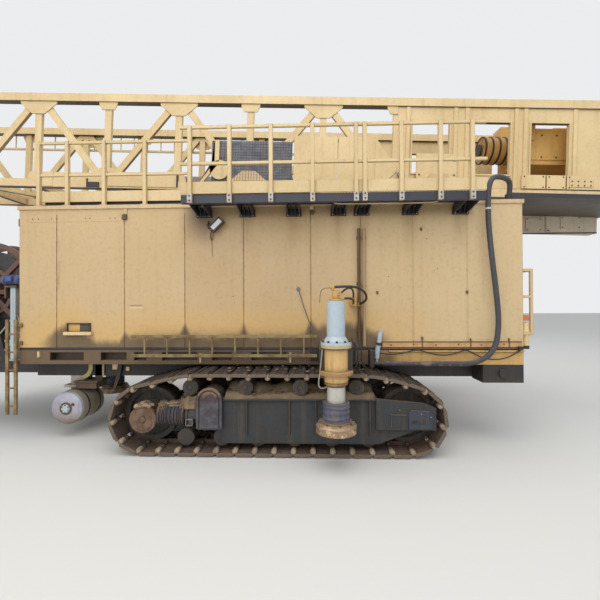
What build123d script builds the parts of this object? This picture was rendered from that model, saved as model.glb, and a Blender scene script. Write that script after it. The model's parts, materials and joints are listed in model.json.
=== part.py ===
from build123d import *

import os
from math import acos, atan2, ceil, cos, degrees, hypot, radians, sin, tan

# Crawler blasthole drilling rig, parked with its mast lowered along the roof.
# Millimetres. +X points to the drill end, +Y to the far side, +Z up. The origin lies on the
# ground, below the middle of the rig's whole length and width.

# Overall layout
mast_length = 14800.0
mast_foot_reach = 3750.0        # from the mast's pivot to the drill table
mast_top_reach = mast_length - mast_foot_reach
mast_below = 100.0              # from the pivot to the rear chords' outer face
mast_above = 1600.0             # from the pivot to the front chords' outer face
mast_tilt = 2.2                 # degrees that the lowered mast's crown lies above level
lean_cos = cos(radians(mast_tilt))
lean_sin = sin(radians(mast_tilt))
pivot_x = ((mast_top_reach - mast_foot_reach) * lean_cos + (mast_below - mast_above) * lean_sin) / 2
pivot_z = 4100.0
pivot_to_front = 1000.0         # from the pivot to the house's drill end
house_length = 7750.0
house_half_width = 1600.0
front_x = pivot_x + pivot_to_front
rear_x = front_x - house_length
fit_gap = 0.3                   # clearance between pieces that seat on each other
running_gap = 6.0               # clearance round sliding rods

# Platform
girder_inner_y = 980.0
girder_outer_y = 1220.0
girder_bottom_z = 950.0
girder_top_z = 1420.0
deck_thickness = 40.0
deck_z = girder_top_z + deck_thickness
skirt_bottom_z = 1200.0
cross_beam_width = 200.0
cross_beam_drop = 50.0
cross_beams_from_rear = (100.0, 1150.0, 2600.0, 4100.0, 5700.0)
front_box_length = 600.0
front_box_bottom_z = 930.0
boss_radius = 70.0
boss_reach = 30.0
boss_z = 1070.0

# Well in the drill end, where the raised mast stands
well_half_width = 950.0
well_start_x = pivot_x - 1950.0
deck_hole_half_width = 795.0
deck_hole_start_x = pivot_x - 690.0

# House
wall = 60.0
roof_top_z = 3680.0
roof_thickness = 60.0
roof_lip = 20.0
wall_top_z = roof_top_z - roof_thickness
seam_width = 14.0
seam_depth = 8.0
seams_from_rear = (600.0, 1680.0, 2630.0, 3545.0, 4575.0, 5335.0, 6120.0, 6930.0)
compressor_from_rear = 900.0
compressor_length = 2600.0
compressor_half_width = 750.0
compressor_height = 1500.0
door_low_y = house_half_width - 1280.0
door_width = 800.0
door_sill = 40.0
door_head = 220.0
door_height = wall_top_z - deck_z - door_sill - door_head
door_handle_from_floor = 950.0
door_gap = 6.0
hinge_radius = 14.0
hinge_knuckle = 70.0
hinge_plate = 7.0

# Near side beam: pockets between its ribs, as (start, end) from the rear of the house
beam_pockets = ((490, 1030), (1300, 1710), (1830, 2020), (2270, 2820), (3050, 3350), (3660, 4200))
pocket_depth = 130.0
pocket_low_z = 1258.0
pocket_high_z = 1385.0
ledge_start_from_rear = 5750.0
ledge_reach = 30.0
ledge_thickness = 25.0

# Tracks
track_centre_x = front_x - 3670.0
wheel_base = 3760.0
track_inner_y = 1270.0
track_width = 880.0
wheel_radius = 400.0
shoe_height = 68.0
link_height = 42.0
shoe_pitch = 272.0
shoe_gap = 26.0
track_top_z = 1170.0
top_run_start = 600.0           # from the driven wheel's axle to the raised top run
top_run_end = 490.0             # from the raised top run to the idler's axle
wheel_inset = 190.0
wheel_width = 340.0
bottom_roller_radius = 120.0
bottom_roller_count = 6
top_roller_radius = 110.0
top_roller_count = 4
frame_plate = 60.0
frame_inset = 90.0
frame_top_z = 800.0
hub_radius = 172.0
motor_radius = 140.0
motor_rib = 12.0
motor_length = 390.0
brake_radius = 105.0
brake_length = 240.0
gear_from_wheel = 955.0
gear_radius = 165.0
gear_top = 440.0                # above the wheel's axle
frame_ribs_at = (0.16, 0.435, 0.605, 0.95)     # shares of the outer plate's length
frame_rib_width = 24.0
frame_rib_reach = 26.0
frame_lip_height = 24.0
frame_lip_reach = 34.0
axle_beam_offset = 950.0
axle_beam_width = 400.0
axle_beam_low_z = 420.0
axle_beam_high_z = 760.0

# Jacks: centres as (name, x, y)
jack_x = front_x - 2850.0
jack_y = 2450.0
rear_jack_x = rear_x + 650.0
jack_casing_radius = 152.0
jack_ram_radius = 117.0
jack_casing_low_z = 1066.0
rear_casing_low_z = 880.0
jack_bush = 80.0
jack_flange_z = 1566.0
jack_flange_radius = 198.0
jack_flange_thickness = 74.0
jack_cylinder_top_z = 2165.0
jack_ring_radius = 218.0
jack_ring_height = 42.0
jack_pad_radius = 262.0
jack_pad_low_z = 485.0
rear_pad_low_z = 400.0
jack_pad_height = 110.0
jack_collar_height = 35.0
jack_sleeve_radius = 158.0
jack_sleeve_high_z = 866.0
arm_half_width = 215.0
arm_low_z = 1268.0
arm_high_z = 1540.0

# Mast, in its own frame: along from the pivot to the drill table, up from the pivot
mast_half_width = 750.0
chord = 140.0
lattice_plate = 60.0
lattice_bar = 120.0
plated_start = -700.0
bay_count = 8
side_windows = ((-420.0, 220.0), (620.0, 1260.0), (1620.0, 2260.0))
trunnion_radius = 90.0
doubler = 28.0
tower_inner_y = 800.0
tower_plate = 130.0
rod_axis_height = 950.0
rod_radius = 107.5
table_thickness = 160.0
table_bore = 140.0
head_travel = 8000.0
head_start = 2250.0             # middle of the rotary head when it is lowest
head_length = 1300.0
spindle_radius = 100.0

# Mast cylinders
cylinder_y = 620.0
cylinder_base_x = pivot_x - 950.0
cylinder_base_z = deck_z + 170.0
lug_along = -1800.0
lug_drop = -240.0
lug_pad = 25.0
lug_pad_length = 400.0
barrel_radius = 100.0
piston_rod_radius = 60.0
cylinder_pin_radius = 35.0
eye_radius = 85.0
eye_half_width = 40.0
eye_neck = 135.0                # from the pin to where the full round of the barrel or rod starts
gland_length = 110.0
fork_gap = 5.5
fork_plate = 30.0
barrel_dead_length = 260.0      # from the rod's pin to the barrel's mouth when closed

# Walkway and railings
walkway_rear_x = pivot_x - 4000.0
walkway_front_x = pivot_x + 240.0
walkway_width = 500.0
walkway_depth = 120.0
walkway_z = roof_top_z - 10.0
post_size = 55.0
rail_size = 40.0
rail_height = 1020.0
toe_height = 170.0
walkway_posts_from_rear = (140.0, 700.0, 1280.0, 1860.0, 2460.0, 2580.0, 3080.0, 3610.0, 4040.0)
walkway_brackets_from_rear = (190.0, 860.0, 1570.0, 2250.0, 2600.0, 3330.0, 4080.0)
bracket_width = 235.0
bracket_drop = 75.0
kerb_height = 120.0
kerb_width = 100.0
kerb_from_rear = 330.0
kerb_from_wall = 110.0          # clear of the roof railing's feet
roof_posts_from_rear = (290.0, 750.0, 1340.0, 1990.0, 2700.0)

# Operator's cab on the far side of the well
cab_rear_x = pivot_x - 730.0
cab_length = 2000.0
cab_inner_y = 970.0
cab_outer_y = 2060.0
cab_top_z = 3700.0
cab_wall = 50.0
cab_pillar = 110.0
window_low_z = 2350.0
window_high_z = 3420.0
cab_door_width = 570.0
cab_door_start = 110.0
cab_door_sill = 80.0
cab_door_head = 150.0
cab_door_frame = 90.0
cab_handle_z = 2150.0
cab_handle_height = 140.0
landing_outer_y = 2700.0
landing_length = 1400.0
glass = 8.0

# Cable reel behind the house
reel_x = rear_x - 950.0
reel_y = -880.0
reel_z = 2350.0
reel_radius = 860.0
reel_core_radius = 420.0
reel_width = 460.0
reel_rim = 30.0
reel_shaft_radius = 60.0
rear_deck_length = 2100.0
rear_deck_z = 1200.0
rear_deck_plate = 20.0
rear_beam_width = 120.0
stand_plate = 60.0
stand_tie_z = 1500.0
stand_tie_height = 70.0
stand_half_width = 330.0
stand_leg = 90.0

# Air receiver under the rear
receiver_x = rear_x + 680.0
receiver_radius = 260.0
receiver_z = 480.0
receiver_outer_y = -house_half_width + 150.0
receiver_length = 560.0

# Ladders and the landing at the near wing's drill end
stored_ladder_length = 2820.0
stored_ladder_off_wall = 150.0
stored_ladder_low_z = 1330.0
stored_ladder_height = 290.0
stored_rail = 45.0
stored_rung_step = 345.0
stored_rung_count = 8
stored_hooks = (380.0, 1420.0, 2500.0)
rear_ladder_low_z = 420.0
rear_ladder_high_z = 1900.0
rear_ladder_width = 180.0
rear_rung_step = 280.0
rear_rung_count = 5
rear_bracket_z = (1500.0, 1780.0)
wing_landing_z = 1690.0
wing_landing_length = 160.0
wing_rail_z = (2200.0, 2600.0)
wing_bar = 40.0

# Big air hose down the near wall
hose_radius = 38.0
hose_y = -house_half_width - 125.0

# Small hoses and the cable along the ledge
fitting_wall = 5.0
fitting_length = 60.0
valve_half_width = 45.0
valve_height = 130.0
manifold_start_x = jack_x + 262.0
manifold_width = 90.0
manifold_reach = 160.0
upper_hose_radius = 17.0
middle_hose_radius = 13.0
lower_hose_radius = 15.0
cable_radius = 9.0
cable_y = -house_half_width - ledge_reach - 18.0
cable_clips_x = (front_x - 1568.5, front_x - 867.5)

os.makedirs("parts", exist_ok=True)


def block(x0, x1, y0, y1, z0, z1):
    """A box between two corners."""
    centre = Pos((x0 + x1) / 2, (y0 + y1) / 2, (z0 + z1) / 2)
    return centre * Box(abs(x1 - x0), abs(y1 - y0), abs(z1 - z0))


def drum(x, y, z, radius, length, axis):
    """A cylinder of the given length from a point, along X, Y or Z."""
    turn = {"X": Rot(0, 90, 0), "Y": Rot(-90, 0, 0), "Z": Rot(0, 0, 0)}[axis]
    bottom = (Align.CENTER, Align.CENTER, Align.MIN)
    return Pos(x, y, z) * (turn * Cylinder(radius, length, align=bottom))


def side_profile(points, y0, y1):
    """A plate whose outline is given as (x, z) points, between two values of Y."""
    face = make_face(Polyline(*points, close=True))
    return Pos(0, y1, 0) * (Plane.XZ * extrude(face, amount=y1 - y0))


def end_profile(points, x0, x1):
    """A bar whose outline is given as (y, z) points, between two values of X."""
    face = make_face(Polyline(*points, close=True))
    return Pos(x0, 0, 0) * (Plane.YZ * extrude(face, amount=x1 - x0))


def rod_between(start, end, radius):
    """A round bar from one point to another."""
    line = Vector(*end) - Vector(*start)
    bottom = (Align.CENTER, Align.CENTER, Align.MIN)
    plane = Plane(origin=start, z_dir=line)
    return plane * Cylinder(radius, line.length, align=bottom)


def joined(shapes):
    """All shapes fused to one."""
    return shapes[0] + shapes[1:]


def far(shape):
    """The same piece on the far side."""
    return mirror(shape, about=Plane.XZ)


def on_mast(shape):
    """Places a piece, drawn in the mast's own frame, on the lowered mast."""
    return Pos(pivot_x, 0, pivot_z) * (Rot(0, mast_tilt, 0) * shape)


def write(name, *shapes):
    """Writes one node, of one or more solids that don't touch."""
    solids = [solid for shape in shapes for solid in shape.solids()]
    node = solids[0] if len(solids) == 1 else Compound(solids)
    node.label = name
    export_step(node, f"parts/{name}.step")


def main_girders():
    """The two box girders, with the box ends at the drill end and their round bosses."""
    girder = block(rear_x, front_x, -girder_outer_y, -girder_inner_y, girder_bottom_z, girder_top_z)
    box = block(front_x - front_box_length, front_x, -house_half_width, -girder_outer_y,
                front_box_bottom_z, skirt_bottom_z)
    boss = drum(front_x - front_box_length / 2, -house_half_width - boss_reach, boss_z, boss_radius,
                boss_reach, "Y")
    near = joined([girder, box, boss])
    return [near, far(near)]


def cross_beams():
    """Beams between the main girders."""
    low = girder_bottom_z + cross_beam_drop
    return [block(rear_x + start, rear_x + start + cross_beam_width, -girder_inner_y, girder_inner_y,
                  low, girder_top_z) for start in cross_beams_from_rear]


def deck_plate():
    """The deck on the girders, open at the drill end where the mast's foot swings through."""
    deck = block(rear_x, front_x, -house_half_width, house_half_width, girder_top_z, deck_z)
    hole = block(deck_hole_start_x, front_x + 1, -deck_hole_half_width, deck_hole_half_width,
                 girder_top_z - 1, deck_z + 1)
    return deck - hole


def side_beam():
    """The near side beam under the house wall, with pockets between its ribs."""
    beam = block(rear_x, front_x, -house_half_width, -girder_outer_y, skirt_bottom_z, girder_top_z)
    pockets = [block(rear_x + start, rear_x + end, -house_half_width - 1, -house_half_width + pocket_depth,
                     pocket_low_z, pocket_high_z) for start, end in beam_pockets]
    ledge = block(rear_x + ledge_start_from_rear, front_x, -house_half_width - ledge_reach, -house_half_width,
                  girder_top_z - ledge_thickness, girder_top_z)
    return beam - pockets + ledge


def jack_arms():
    """Short box arms that carry the two side jacks above the tracks."""
    inner = -house_half_width
    outer = -jack_y
    arm = block(jack_x - arm_half_width, jack_x + arm_half_width, outer, inner, arm_low_z, arm_high_z)
    web = side_profile([(jack_x - arm_half_width - 120, arm_low_z), (jack_x + arm_half_width + 120, arm_low_z),
                        (jack_x + arm_half_width + 120, girder_top_z), (jack_x - arm_half_width - 120, girder_top_z)],
                       inner - 60, inner)
    seat = drum(jack_x, -jack_y, arm_low_z - 1, jack_casing_radius + fit_gap, arm_high_z - arm_low_z + 2, "Z")
    arm = arm + web - seat
    return [arm, far(arm)]


def jack_bore(x, y, low_z, top_z):
    """What a ram needs cut out of its casing: a close bush at the mouth and a wider bore above."""
    bush = drum(x, y, low_z - 1, jack_ram_radius + fit_gap, jack_bush + 2, "Z")
    return bush + drum(x, y, low_z + jack_bush, jack_ram_radius + running_gap, top_z - low_z - jack_bush - 20, "Z")


def jack_housing(x, y, low_z, top_z):
    """A jack's guide casing with its flange, clamp ring and hydraulic cylinder, bored for the ram."""
    casing_top = jack_flange_z
    casing = drum(x, y, low_z, jack_casing_radius, casing_top - low_z, "Z")
    casing = chamfer(casing.edges().sort_by(Axis.Z)[0], 34.0)
    flange = drum(x, y, casing_top, jack_flange_radius, jack_flange_thickness, "Z")
    cylinder = drum(x, y, casing_top + jack_flange_thickness, jack_ram_radius + 2,
                    top_z - casing_top - jack_flange_thickness, "Z")
    flare = Pos(x, y, casing_top + jack_flange_thickness + 35) * Cone(jack_ram_radius + 50, jack_ram_radius + 2, 70)
    return joined([casing, flange, cylinder, flare]) - jack_bore(x, y, low_z, casing_top + jack_flange_thickness + 30)


def side_jack_housing():
    """The near jack's housing with the brown clamp ring under its arm."""
    housing = jack_housing(jack_x, -jack_y, jack_casing_low_z, jack_cylinder_top_z)
    ring = drum(jack_x, -jack_y, arm_low_z - jack_ring_height, jack_ring_radius, jack_ring_height - fit_gap, "Z")
    ring -= drum(jack_x, -jack_y, arm_low_z - jack_ring_height - 1, jack_casing_radius - 1, jack_ring_height + 2, "Z")
    return housing + ring


def rear_jack_housing():
    """The jack between the girders at the rear, hung from the deck by a yoke plate."""
    top = girder_top_z
    first = rear_x + cross_beams_from_rear[0] + cross_beam_width
    second = rear_x + cross_beams_from_rear[1]
    casing = drum(rear_jack_x, 0, rear_casing_low_z, jack_casing_radius, top - rear_casing_low_z, "Z")
    yoke = block(first, second, -280.0, 280.0, top - 130.0, top)
    return casing + yoke - jack_bore(rear_jack_x, 0, rear_casing_low_z, top)


def jack_ram(x, y, pad_z, top_z):
    """A ram with its rubber sleeve and round foot."""
    ram = drum(x, y, pad_z + 40, jack_ram_radius, top_z - pad_z - 40, "Z")
    pad = drum(x, y, pad_z, jack_pad_radius, jack_pad_height, "Z")
    pad = chamfer(pad.edges().sort_by(Axis.Z)[-1], 26.0)
    collar_z = pad_z + jack_pad_height
    collar = drum(x, y, collar_z, jack_sleeve_radius + 34, jack_collar_height, "Z")
    sleeve_z = collar_z + jack_collar_height
    sleeve_height = jack_sleeve_high_z - sleeve_z
    sleeve = drum(x, y, sleeve_z, jack_sleeve_radius, sleeve_height, "Z")
    fold_count = round(sleeve_height / 80)
    fold_step = sleeve_height / fold_count
    for i in range(fold_count):
        sleeve += drum(x, y, sleeve_z + fold_step * (i + 0.5) - 17, jack_sleeve_radius + 7, 34, "Z")
    return joined([ram, sleeve, pad, collar])


def hinge_set(place, heights, door):
    """Hinge halves on a wall's outer face, drawn with the leaf along +X and outward +Y."""
    axis_y = hinge_radius + fit_gap
    pieces = []
    for z in heights:
        if door:
            low = z + hinge_knuckle + fit_gap
            high = z + 2 * hinge_knuckle
            pieces.append(block(0, 120, fit_gap, hinge_plate, low, high))
            pieces.append(block(2 * door_gap + 3, 120, -1, hinge_plate, low, high))
        else:
            low = z
            high = z + hinge_knuckle
            pieces.append(block(-60, 0, 0, hinge_plate, low, high))
        pieces.append(drum(0, axis_y, low, hinge_radius, high - low, "Z"))
    return [place * piece for piece in pieces]


def house_hinges(door):
    """Hinges of the rear door: the halves on its frame or those on the door."""
    low = deck_z + door_sill
    place = Pos(rear_x, door_low_y - door_gap, 0) * Rot(0, 0, 90)
    return hinge_set(place, (low + 200, low + door_height - 340), door)


def cab_hinges(door):
    """Hinges of the cab door: the halves on the cab or those on the door."""
    place = Pos(cab_rear_x + cab_door_start - door_gap, cab_outer_y, 0)
    return hinge_set(place, (deck_z + cab_door_sill + 180, cab_top_z - cab_door_head - 320), door)


def house_walls():
    """Panels of the machine house: near, far, rear, the well's lining and the near wing's end."""
    seams = [block(rear_x + x - seam_width / 2, rear_x + x + seam_width / 2, -house_half_width - 1,
                   -house_half_width + seam_depth, deck_z, wall_top_z - 90) for x in seams_from_rear]
    near = block(rear_x, front_x, -house_half_width, -house_half_width + wall, deck_z, wall_top_z) - seams
    far_seams = [far(seam) for seam in seams if seam.center().X < cab_rear_x - 100]
    far_wall = block(rear_x, cab_rear_x, house_half_width - wall, house_half_width, deck_z, wall_top_z) - far_seams
    inner_y = house_half_width - wall
    rear = block(rear_x, rear_x + wall, -inner_y, inner_y, deck_z, wall_top_z)
    rear -= block(rear_x - 1, rear_x + wall + 1, door_low_y, door_low_y + door_width,
                  deck_z + door_sill, deck_z + door_sill + door_height)
    rear = joined([rear] + house_hinges(False))
    lining = block(well_start_x - wall, well_start_x, -well_half_width - wall, well_half_width + wall,
                   deck_z, wall_top_z)
    lining += block(well_start_x, front_x, -well_half_width - wall, -well_half_width, deck_z, wall_top_z)
    lining += block(well_start_x, cab_rear_x, well_half_width, well_half_width + wall, deck_z, wall_top_z)
    lining += block(front_x - wall, front_x, -inner_y, -well_half_width - wall, deck_z, wall_top_z)
    lining += block(cab_rear_x - wall, cab_rear_x, well_half_width + wall, inner_y, deck_z, wall_top_z)
    return near, far_wall, rear, lining


def house_roof():
    """Roof plate with its lip, cut away over the well and the cab."""
    roof = block(rear_x - roof_lip, front_x + roof_lip, -house_half_width - roof_lip, house_half_width + roof_lip,
                 wall_top_z, roof_top_z)
    well = block(well_start_x, front_x + roof_lip + 1, -well_half_width, well_half_width,
                 wall_top_z - 1, roof_top_z + 1)
    cab = block(cab_rear_x, front_x + roof_lip + 1, well_half_width - 1, house_half_width + roof_lip + 1,
                wall_top_z - 1, roof_top_z + 1)
    return roof - well - cab


def hinged_door():
    """The door in the house's rear wall, with its handle."""
    leaf = block(rear_x, rear_x + wall - 10, door_low_y + door_gap, door_low_y + door_width - door_gap,
                 deck_z + door_sill + door_gap, deck_z + door_sill + door_height - door_gap)
    handle_y = door_low_y + door_width - 90
    handle_z = deck_z + door_sill + door_handle_from_floor
    handle = block(rear_x - 45, rear_x - 25, handle_y - 12, handle_y + 12, handle_z, handle_z + 180)
    feet = [block(rear_x - 30, rear_x, handle_y - 12, handle_y + 12, z, z + 25)
            for z in (handle_z, handle_z + 155)]
    return joined([leaf, handle] + feet + house_hinges(True))


def walkway():
    """The side walkway on its wall brackets, with an edge channel, and the kerb behind it on the roof."""
    outer = -house_half_width - walkway_width
    deck = block(walkway_rear_x, walkway_front_x, outer, -house_half_width - roof_lip, walkway_z - 30, walkway_z)
    channel = block(walkway_rear_x, walkway_front_x, outer, outer + 60, walkway_z - walkway_depth, walkway_z)
    pieces = [deck, channel]
    low = walkway_z - walkway_depth - bracket_drop
    for start in walkway_brackets_from_rear:
        x = walkway_rear_x + start - bracket_width / 2
        pieces.append(block(x, x + bracket_width, -house_half_width - 14, -house_half_width, low, walkway_z - 90))
        for offset in (20.0, bracket_width - 34.0):
            pieces.append(end_profile([(-house_half_width, low), (-house_half_width, wall_top_z),
                                       (-house_half_width - roof_lip, wall_top_z),
                                       (-house_half_width - roof_lip, walkway_z - 30),
                                       (outer + 60, walkway_z - 30), (outer + 60, walkway_z - walkway_depth)],
                                      x + offset, x + offset + 14))
    kerb_y = -house_half_width + kerb_from_wall
    kerb = block(rear_x + kerb_from_rear, walkway_rear_x, kerb_y, kerb_y + kerb_width,
                 roof_top_z + fit_gap, roof_top_z + kerb_height)
    return [joined(pieces), kerb]


def railing(start_x, end_x, posts, y, side, base_z, foot):
    """A railing along X: posts, top and middle rail and a toe board; foot is the post's low end."""
    outer = y + side * post_size
    pieces = [block(x - post_size / 2, x + post_size / 2, y, outer, foot, base_z + rail_height) for x in posts]
    for height, size in ((rail_height - rail_size, rail_size), (rail_height / 2 - rail_size, rail_size),
                         (70.0, toe_height)):
        pieces.append(block(start_x, end_x, y, y + side * 15 if size == toe_height else y + side * rail_size,
                            base_z + height, base_z + height + size))
    return joined(pieces)


def walkway_railing():
    """Railing bolted to the front of the walkway's channel."""
    outer = -house_half_width - walkway_width
    posts = [walkway_rear_x + x for x in walkway_posts_from_rear]
    return railing(walkway_rear_x, walkway_front_x, posts, outer, -1, walkway_z - 60, walkway_z - walkway_depth)


def roof_railings():
    """Railings along both roof edges, on base plates."""
    near_posts = [rear_x + x for x in roof_posts_from_rear]
    plates = [block(x - 60, x + 60, -house_half_width - 5, -house_half_width + 100, roof_top_z, roof_top_z + 12)
              for x in near_posts]
    near = railing(near_posts[0] - 25, walkway_rear_x - 40, near_posts, -house_half_width + 60, -1,
                   roof_top_z, roof_top_z)
    near = joined([near] + plates)
    span = cab_rear_x - 150 - near_posts[0]
    count = ceil(span / 900.0)
    far_posts = [near_posts[0] + span * i / count for i in range(count + 1)]
    far_plates = [block(x - 60, x + 60, house_half_width - 100, house_half_width + 5, roof_top_z, roof_top_z + 12)
                  for x in far_posts]
    far_rail = railing(far_posts[0] - 25, far_posts[-1] + 25, far_posts, house_half_width - 60, 1,
                       roof_top_z, roof_top_z)
    return [near, joined([far_rail] + far_plates)]


def mast_towers():
    """A tower each side of the well with the bore for the mast's trunnion."""
    inner = -tower_inner_y - tower_plate
    outline = [(pivot_x - 480, deck_z), (pivot_x + 620, deck_z), (pivot_x + 230, pivot_z + 60),
               (pivot_x + 140, pivot_z + 220), (pivot_x - 140, pivot_z + 220), (pivot_x - 230, pivot_z + 60)]
    tower = side_profile(outline, inner, -tower_inner_y)
    window = [(pivot_x - 240, deck_z + 260), (pivot_x + 330, deck_z + 260), (pivot_x + 120, pivot_z - 520),
              (pivot_x - 110, pivot_z - 520)]
    tower -= side_profile(window, inner - 1, -tower_inner_y + 1)
    tower -= drum(pivot_x, inner - 1, pivot_z, trunnion_radius + 0.1, tower_plate + 2, "Y")
    return [tower, far(tower)]


def mast_rest():
    """Cradle on the roof under the mast's rear chords."""
    along = -5650.0
    half = 110.0
    pieces = []
    for side in (-1, 1):
        top = on_mast(block(along - half, along + half, side * (mast_half_width - chord - 20),
                            side * (mast_half_width + 10), -mast_below - fit_gap - 40, -mast_below - fit_gap))
        foot_x = pivot_x + along * cos(radians(mast_tilt))
        post_top = pivot_z - along * sin(radians(mast_tilt)) - mast_below - 20
        post = block(foot_x - 70, foot_x + 70, side * (mast_half_width - chord), side * mast_half_width,
                     roof_top_z, post_top)
        pieces += [top, post, block(foot_x - 150, foot_x + 150, side * (mast_half_width - chord - 80),
                                    side * (mast_half_width + 80), roof_top_z, roof_top_z + 20)]
    tie = block(foot_x - 50, foot_x + 50, -mast_half_width + chord, mast_half_width - chord,
                roof_top_z + 120, roof_top_z + 240)
    return joined(pieces + [tie])


def mast_lattice():
    """Four chords with plate lattice on three faces, plated round the pivot and below it."""
    start = -mast_top_reach
    end = mast_foot_reach - table_thickness
    low = -mast_below
    high = mast_above
    outer = mast_half_width
    inner = outer - chord
    pieces = []
    for side in (-1, 1):
        for base in (low, high - chord):
            pieces.append(block(start, end, side * inner, side * outer, base, base + chord))
    bay = (plated_start - start) / bay_count
    plate_y = outer - 30 - lattice_plate
    bar = lattice_bar
    for side in (-1, 1):
        y0, y1 = sorted((side * plate_y, side * (plate_y + lattice_plate)))
        for i in range(bay_count + 1):
            x = start + i * bay
            left = x if i == 0 else x - bar / 2
            pieces.append(block(left, left + bar, y0, y1, low + chord, high - chord))
        for i in range(bay_count):
            x0, x1 = start + i * bay, start + (i + 1) * bay
            if i % 2:
                x0, x1 = x1, x0
            lean = bar if x1 > x0 else -bar
            pieces.append(side_profile([(x0, low + chord - 5), (x0 + lean * 1.25, low + chord - 5),
                                        (x1, high - chord + 5), (x1 - lean * 1.25, high - chord + 5)], y0, y1))
        sheet = block(plated_start, end, y0, y1, low + chord - 5, high - chord + 5)
        holes = [block(x0, x1, y0 - 1, y1 + 1, low + chord + 260, high - chord - 260) for x0, x1 in side_windows]
        pieces.append(sheet - holes)
    for i in range(bay_count + 1):
        x = start + i * bay
        left = x if i == 0 else x - bar / 2
        pieces.append(block(left, left + bar, -inner - 1, inner + 1, low, low + chord))
    for i in range(bay_count):
        x0, x1 = start + i * bay, start + (i + 1) * bay
        if i % 2:
            x0, x1 = x1, x0
        lean = bar if x1 > x0 else -bar
        outline = make_face(Polyline((x0, -inner - 5), (x0 + lean, -inner - 5), (x1, inner + 5),
                                     (x1 - lean, inner + 5), close=True))
        pieces.append(Pos(0, 0, low + 20) * extrude(outline, amount=80.0))
    lower_plate = block(plated_start, end, -inner - 1, inner + 1, low, low + 40)
    lower_plate -= block(plated_start + 500, plated_start + 1300, -inner + 150, inner - 150, low - 1, low + 41)
    pieces.append(lower_plate)
    for side in (-1, 1):
        y0, y1 = sorted((side * (outer - 5), side * (outer + doubler)))
        pieces.append(block(-350.0, 350.0, y0, y1, low, 620.0))
        length = tower_inner_y + tower_plate + 20 - outer - doubler
        base = side * (outer + doubler)
        pieces.append(drum(0, min(base, base + side * length), 0, trunnion_radius, length, "Y"))
        pad_y = sorted((side * (cylinder_y - eye_half_width - fork_gap - 2 * fork_plate), side * outer))
        pieces.append(block(lug_along - lug_pad_length / 2, lug_along + lug_pad_length / 2, *pad_y,
                            low - lug_pad, low + 1))
        for cheek in (-1, 1):
            near_face = cylinder_y + cheek * (eye_half_width + fork_gap)
            y0, y1 = sorted((side * near_face, side * (near_face + cheek * fork_plate)))
            pieces.append(side_profile([(lug_along - 160, low + 1), (lug_along + 160, low + 1),
                                        (lug_along + 80, lug_drop - 90), (lug_along - 80, lug_drop - 90)], y0, y1))
    return joined(pieces)


def mast_table():
    """Drill table at the foot of the mast, bored for the drill rod."""
    table = block(mast_foot_reach - table_thickness, mast_foot_reach, -mast_half_width, mast_half_width,
                  -mast_below, mast_above)
    pocket = 70.0
    for side in (-1, 1):
        table -= block(mast_foot_reach - pocket, mast_foot_reach + 1, side * 330, side * (mast_half_width - 60),
                       60.0, mast_above - 120)
    collar = drum(mast_foot_reach - 40, 0, rod_axis_height, table_bore + 90, 40, "X")
    bore = drum(mast_foot_reach - table_thickness - 1, 0, rod_axis_height, table_bore, table_thickness + 60, "X")
    return table + collar - bore


def mast_crown():
    """Crown block with four sheaves on one shaft."""
    start = -mast_top_reach
    pieces = [block(start + 130, start + 260, -mast_half_width + chord, mast_half_width - chord,
                    mast_above - 260, mast_above)]
    shaft_z = mast_above + 60
    for y in (-420.0, 360.0):
        pieces.append(block(start + 60, start + 330, y, y + 60, mast_above - 200, shaft_z + 90))
    pieces.append(drum(start + 195, -420.0, shaft_z, 45.0, 840.0, "Y"))
    for y in (-290.0, -130.0, 60.0, 220.0):
        sheave = drum(start + 195, y, shaft_z, 250.0, 70.0, "Y")
        groove = drum(start + 195, y + 20, shaft_z, 260.0, 30.0, "Y")
        groove -= drum(start + 195, y + 19, shaft_z, 215.0, 32.0, "Y")
        pieces.append(sheave - groove)
    notch = block(start + 100, start + 300, -300.0, 300.0, mast_above - 290, mast_above + 1)
    return joined([pieces[0] - notch] + pieces[1:])


def tong_frame():
    """Rod-handling gear under the far rear chord of the mast's lower part."""
    start = pivot_to_front + 60
    low = -mast_below - 330
    pieces = [block(start, mast_foot_reach - 60, 500.0, 560.0, low, -mast_below),
              block(start, mast_foot_reach - 60, 500.0, 740.0, low, low + 50)]
    for at, length, radius in ((160.0, 420.0, 110.0), (1250.0, 300.0, 130.0), (1900.0, 380.0, 105.0)):
        pieces.append(drum(start + at, 660.0, low + 50 + radius - 2, radius, length, "X"))
    for x in (start + 20, start + 1000, mast_foot_reach - 100):
        pieces.append(block(x, x + 40, 500.0, 740.0, low, -mast_below))
    return joined(pieces)


def spare_rods():
    """Drill rods stored along the mast, and the cassette plates that hold them."""
    start = -6100.0
    length = 8000.0
    height = -mast_below + chord + 20 + rod_radius + fit_gap
    centres = (-330.0, 330.0)
    rods = []
    for y in centres:
        body = drum(start + 150, y, height, rod_radius, length - 300, "X")
        pin = drum(start, y, height, rod_radius - 35, length, "X")
        rods.append(body + pin)
    plates = []
    bay = (plated_start + mast_top_reach) / bay_count
    for x in (-mast_top_reach + 4 * bay, -mast_top_reach + 6 * bay, plated_start + 200, plated_start + 2200):
        cradle = block(x - 50, x + 50, -mast_half_width + chord + 30, mast_half_width - chord - 30,
                       -mast_below + chord if x < plated_start else -mast_below + 40, height - 20)
        for y in centres:
            cradle -= drum(x - 60, y, height, rod_radius + fit_gap, 120, "X")
        plates.append(cradle)
    return rods, plates


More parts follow.
